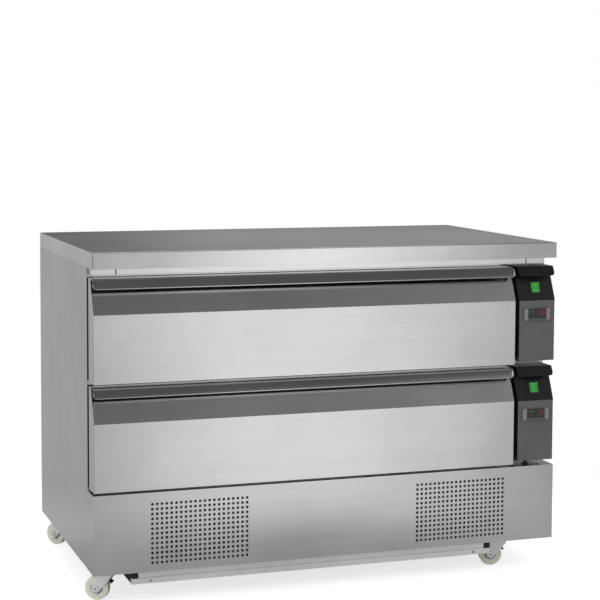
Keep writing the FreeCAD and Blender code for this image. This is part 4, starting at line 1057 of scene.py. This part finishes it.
moulded("tread_cream", (0.80, 0.80, 0.66), 0.36, texture=500.0, bump=0.05, edge=0.03, blotch=90.0)
moulded("hub_grey", (0.36, 0.38, 0.42), 0.4, texture=800.0, bump=0.06)
moulded("foam", (0.80, 0.72, 0.50), 0.85, texture=420.0, bump=0.5, specular=0.2, blotch=70.0)
moulded("board", (0.42, 0.30, 0.19), 0.75, texture=300.0, bump=0.4, blotch=90.0)
print("materials so far:", len(materials))

# %% Every part takes its finish
for level in levels:
    finish_of[level + "_hand_rail_folded"] = "stainless_rail"
for castor in castors:
    finish_of["castor_fork_" + castor + "_axle_heads"] = "screw_steel"
finish_of["front_frame_soft"] = "stainless_top"
finish_of["base_tray_soft"] = "tray_steel"
finish_of["switch_frames_soft"] = "switch_black"
for name, node in nodes.items():
    node.data.materials.clear()
    node.data.materials.append(materials[slot_of[name]])
for piece in bpy.data.objects:
    if piece.type == "MESH" and "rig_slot" in piece:
        piece.data.materials.clear()
        piece.data.materials.append(materials[finish_of.get(piece.name, piece["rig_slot"])])
print("pieces with a finish of their own:", len(finish_of))

# %% [markdown]
# ## The camera
# The picture was taken from the left of the front and a little above the worktop, from over four
# metres away, so lines hardly converge. The place and angles below were worked out from the unit's
# own corners, and the small shift keeps uprights upright, as a photographer does with a shift lens.
# The place is counted from the worktop's front left corner, so that it stays right for any frame.

# %% Camera
CAMERA_FROM_CORNER = (-0.8101, -3.8761)
CAMERA_HEIGHT = 1.195
CAMERA_TURN = math.radians(18.92)
CAMERA_TILT = math.radians(4.39)
CAMERA_ROLL = math.radians(0.27)
CAMERA_LENS = 100.14
CAMERA_SHIFT = -0.1

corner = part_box("worktop")[0]
camera_place = (corner[0] + CAMERA_FROM_CORNER[0], corner[1] + CAMERA_FROM_CORNER[1], CAMERA_HEIGHT)
forward = Vector((math.sin(CAMERA_TURN) * math.cos(CAMERA_TILT),
                  math.cos(CAMERA_TURN) * math.cos(CAMERA_TILT), -math.sin(CAMERA_TILT)))
level_way = forward.cross(Vector((0.0, 0.0, 1.0))).normalized()
upward = level_way.cross(forward)
right = level_way * math.cos(CAMERA_ROLL) + upward * math.sin(CAMERA_ROLL)
top = upward * math.cos(CAMERA_ROLL) - level_way * math.sin(CAMERA_ROLL)
camera_data = bpy.data.cameras.new("camera")
camera_data.lens = CAMERA_LENS
camera_data.shift_y = CAMERA_SHIFT
camera = bpy.data.objects.new("camera", camera_data)
camera.matrix_world = Matrix.Translation(camera_place) @ Matrix((right, top, -forward)).transposed().to_4x4()
bpy.context.scene.collection.objects.link(camera)
bpy.context.scene.camera = camera
print("camera distance in metres:", round(Vector(camera_place).length, 3))

# %% [markdown]
# ## The studio
# Steel shows what is round it, so the room is half of its look. The real studio had a pale floor and
# horizon with darker air above: upright faces mirror the bright floor, while the sloping tops of the
# drawers mirror the dark. What metal mirrors is one formula of direction, with a bright upright band
# where the front faces look. Everything else is lit by even soft light, as from a room-sized tent.

# %% World
AIR_LIGHT = 0.86
ROUND_LOW = 0.15
FRONT_LOW = 0.19
BAND_LOW = 0.96
LEFT_BACK_LOW = 0.32
RIGHT_BACK_LOW = 0.15
MIDDLE_SKY = 0.14
MIDDLE_RIGHT = 0.16
UPPER_SKY = 0.11
LOW_SKY_FADE = (0.12, 0.50)
UPPER_FADE = (0.57, 0.70)
BELOW_SHARE = 0.74
BELOW_FADE = (-0.28, -0.20)
BAND_TURN = math.radians(18.9)
BAND_HALF = (math.radians(9.0), math.radians(0.0))


def studio_world():
    """Rays that show the world see plain white. Mirrored rays see low * (round + front + band + back)
    + middle * (sky + right) + upper * sky. Low, middle and upper share out the height, each a smooth
    step of its sine, and low dims to the below share for rays that go down. Front, right and back grow
    with the direction's part that way, and the band with the cosine of the angle to its middle.
    All other rays get the air's even light."""
    world = bpy.data.worlds.new("studio")
    world.use_nodes = True
    tree = world.node_tree
    tree.nodes.clear()
    out = put(tree, "ShaderNodeOutputWorld")
    direction = put(tree, "ShaderNodeTexCoord").outputs["Generated"]
    parts = put(tree, "ShaderNodeSeparateXYZ", Vector=direction).outputs
    flat = put(tree, "ShaderNodeVectorMath", {"operation": "MULTIPLY"}, i0=direction, i1=(1.0, 1.0, 0.0))
    unit = put(tree, "ShaderNodeVectorMath", {"operation": "NORMALIZE"}, i0=flat.outputs[0]).outputs[0]

    def towards(turn_degrees):
        """The cosine of the level angle to a direction, counted from the front towards the right."""
        turn = math.radians(turn_degrees)
        aim = (math.sin(turn), -math.cos(turn), 0.0)
        product = put(tree, "ShaderNodeVectorMath", {"operation": "DOT_PRODUCT"}, i0=unit, i1=aim)
        return product.outputs["Value"]

    def weighted(pairs):
        """The sum of values times weights."""
        total = math_node(tree, "MULTIPLY", *pairs[0])
        for value, weight in pairs[1:]:
            total = math_node(tree, "ADD", total, math_node(tree, "MULTIPLY", value, weight))
        return total

    low = between(tree, parts["Z"], *LOW_SKY_FADE, 1.0, 0.0)
    upper = between(tree, parts["Z"], *UPPER_FADE, 0.0, 1.0)
    middle = math_node(tree, "SUBTRACT", math_node(tree, "SUBTRACT", 1.0, low), upper)
    band = between(tree, towards(math.degrees(BAND_TURN)), math.cos(BAND_HALF[0]), math.cos(BAND_HALF[1]),
                   0.0, 1.0, False)
    front = between(tree, towards(0.0), -0.2, 0.6, 0.0, 1.0)
    left_back = between(tree, towards(-165.0), 0.93, 0.985, 0.0, 1.0)
    right_back = between(tree, towards(150.0), 0.945, 0.972, 0.0, 1.0)
    around = math_node(tree, "ADD", ROUND_LOW, weighted([
        (front, FRONT_LOW), (band, BAND_LOW), (left_back, LEFT_BACK_LOW), (right_back, RIGHT_BACK_LOW)]))
    low_glow = math_node(tree, "MULTIPLY", around, between(tree, parts["Z"], *BELOW_FADE, BELOW_SHARE, 1.0))
    middle_glow = math_node(tree, "ADD", MIDDLE_SKY, weighted([
        (between(tree, towards(50.0), 0.7, 0.95, 0.0, 1.0, False), MIDDLE_RIGHT)]))
    mirrored = weighted([(low, low_glow), (middle, middle_glow), (upper, UPPER_SKY)])
    path = put(tree, "ShaderNodeLightPath").outputs
    shows = math_node(tree, "MAXIMUM", path["Is Glossy Ray"], path["Is Transmission Ray"])
    lit = weighted([(shows, mirrored), (math_node(tree, "SUBTRACT", 1.0, shows), AIR_LIGHT)])
    strength = math_node(tree, "MAXIMUM", lit, path["Is Camera Ray"])
    background = put(tree, "ShaderNodeBackground", Color=(1.0, 1.0, 1.0, 1.0), Strength=strength)
    tree.links.new(background.outputs[0], out.inputs["Surface"])
    return world


bpy.context.scene.world = studio_world()
print("world nodes:", len(bpy.context.scene.world.node_tree.nodes))

# %% [markdown]
# ## Lamps and floor
# Three wide soft lamps give the shapes their shading and the floor its shadow. They hang where the
# flat steel doesn't mirror them towards the camera: one above, one to the left and one to the right
# of the front. The floor is a plain pale disc. It could be a huge plane, but a disc that fades out
# towards its rim meets the white background with no visible edge.

# %% Lamps
OVERHEAD_WATTS = 36.0
LEFT_WATTS = 36.0
RIGHT_WATTS = 12.0


def soft_lamp(name, place, aim, size, power):
    """A wide area lamp at a place, turned towards a point. A large lamp stays dim for its power, so
    metal doesn't mirror it as a hot spot."""
    data = bpy.data.lights.new(name, "AREA")
    data.shape = "RECTANGLE"
    data.size, data.size_y = size
    data.energy = power
    lamp = bpy.data.objects.new(name, data)
    lamp.location = place
    lamp.rotation_euler = (Vector(aim) - Vector(place)).to_track_quat("-Z", "Y").to_euler()
    bpy.context.scene.collection.objects.link(lamp)
    return lamp


soft_lamp("overhead", (0.2, 0.9, 4.2), (0.0, 0.0, 0.4), (3.4, 2.6), OVERHEAD_WATTS)
soft_lamp("left", (-3.0, -3.4, 2.9), (-0.1, -0.2, 0.5), (2.2, 2.2), LEFT_WATTS)
soft_lamp("right", (3.9, -2.2, 2.7), (0.1, -0.2, 0.5), (2.4, 2.2), RIGHT_WATTS)

# %% Floor
FLOOR_RADIUS = 1.4
FLOOR_FADE = (0.82, 1.36)
FLOOR_STEPS = 96
FLOOR_DROP = 0.0005
FLOOR_TONE = (0.50, 0.50, 0.50)
FLOOR_GLOW = 0.72
FLOOR_MIRRORED = 0.03


def floor_disc():
    """A flat disc just under the wheels, which fades out towards its rim. Rays that show the floor get
    part of its white from its own glow, and the rest from the lamps, so that shadows stay."""
    turn = np.linspace(0.0, 2 * math.pi, FLOOR_STEPS, endpoint=False)
    rim = np.stack([FLOOR_RADIUS * np.cos(turn), FLOOR_RADIUS * np.sin(turn),
                    np.full(FLOOR_STEPS, -FLOOR_DROP)], -1)
    mesh = bpy.data.meshes.new("floor")
    mesh.from_pydata(rim.tolist(), [], [list(range(FLOOR_STEPS))])
    floor = bpy.data.objects.new("floor", mesh)
    bpy.context.scene.collection.objects.link(floor)
    tree, out = start("floor_pale")
    path = put(tree, "ShaderNodeLightPath").outputs
    mirrored = math_node(tree, "MAXIMUM", path["Is Glossy Ray"], path["Is Transmission Ray"])
    shown = math_node(tree, "ADD", math_node(tree, "MULTIPLY", path["Is Camera Ray"], FLOOR_GLOW),
                      math_node(tree, "MULTIPLY", mirrored, FLOOR_MIRRORED))
    spots = effect(tree, "cloud", Scale=1.5)["Mask"]
    plain = put(tree, "ShaderNodeBsdfDiffuse", Color=tinted(tree, FLOOR_TONE, spots, 0.98, 1.02))
    glow = put(tree, "ShaderNodeEmission", Color=(1.0, 1.0, 1.0, 1.0), Strength=shown)
    both = put(tree, "ShaderNodeAddShader", i0=plain.outputs[0], i1=glow.outputs[0])
    place = put(tree, "ShaderNodeTexCoord").outputs["Object"]
    distance = put(tree, "ShaderNodeVectorMath", {"operation": "LENGTH"}, i0=place).outputs["Value"]
    faded = put(tree, "ShaderNodeMixShader", Fac=between(tree, distance, *FLOOR_FADE, 0.0, 1.0),
                i1=both.outputs[0], i2=put(tree, "ShaderNodeBsdfTransparent").outputs[0])
    tree.links.new(faded.outputs[0], out.inputs["Surface"])
    mesh.materials.append(materials["floor_pale"])
    return floor


floor_disc()
print("floor radius in metres:", FLOOR_RADIUS)

# %% Plain colours
bpy.context.scene.view_settings.view_transform = "Standard"
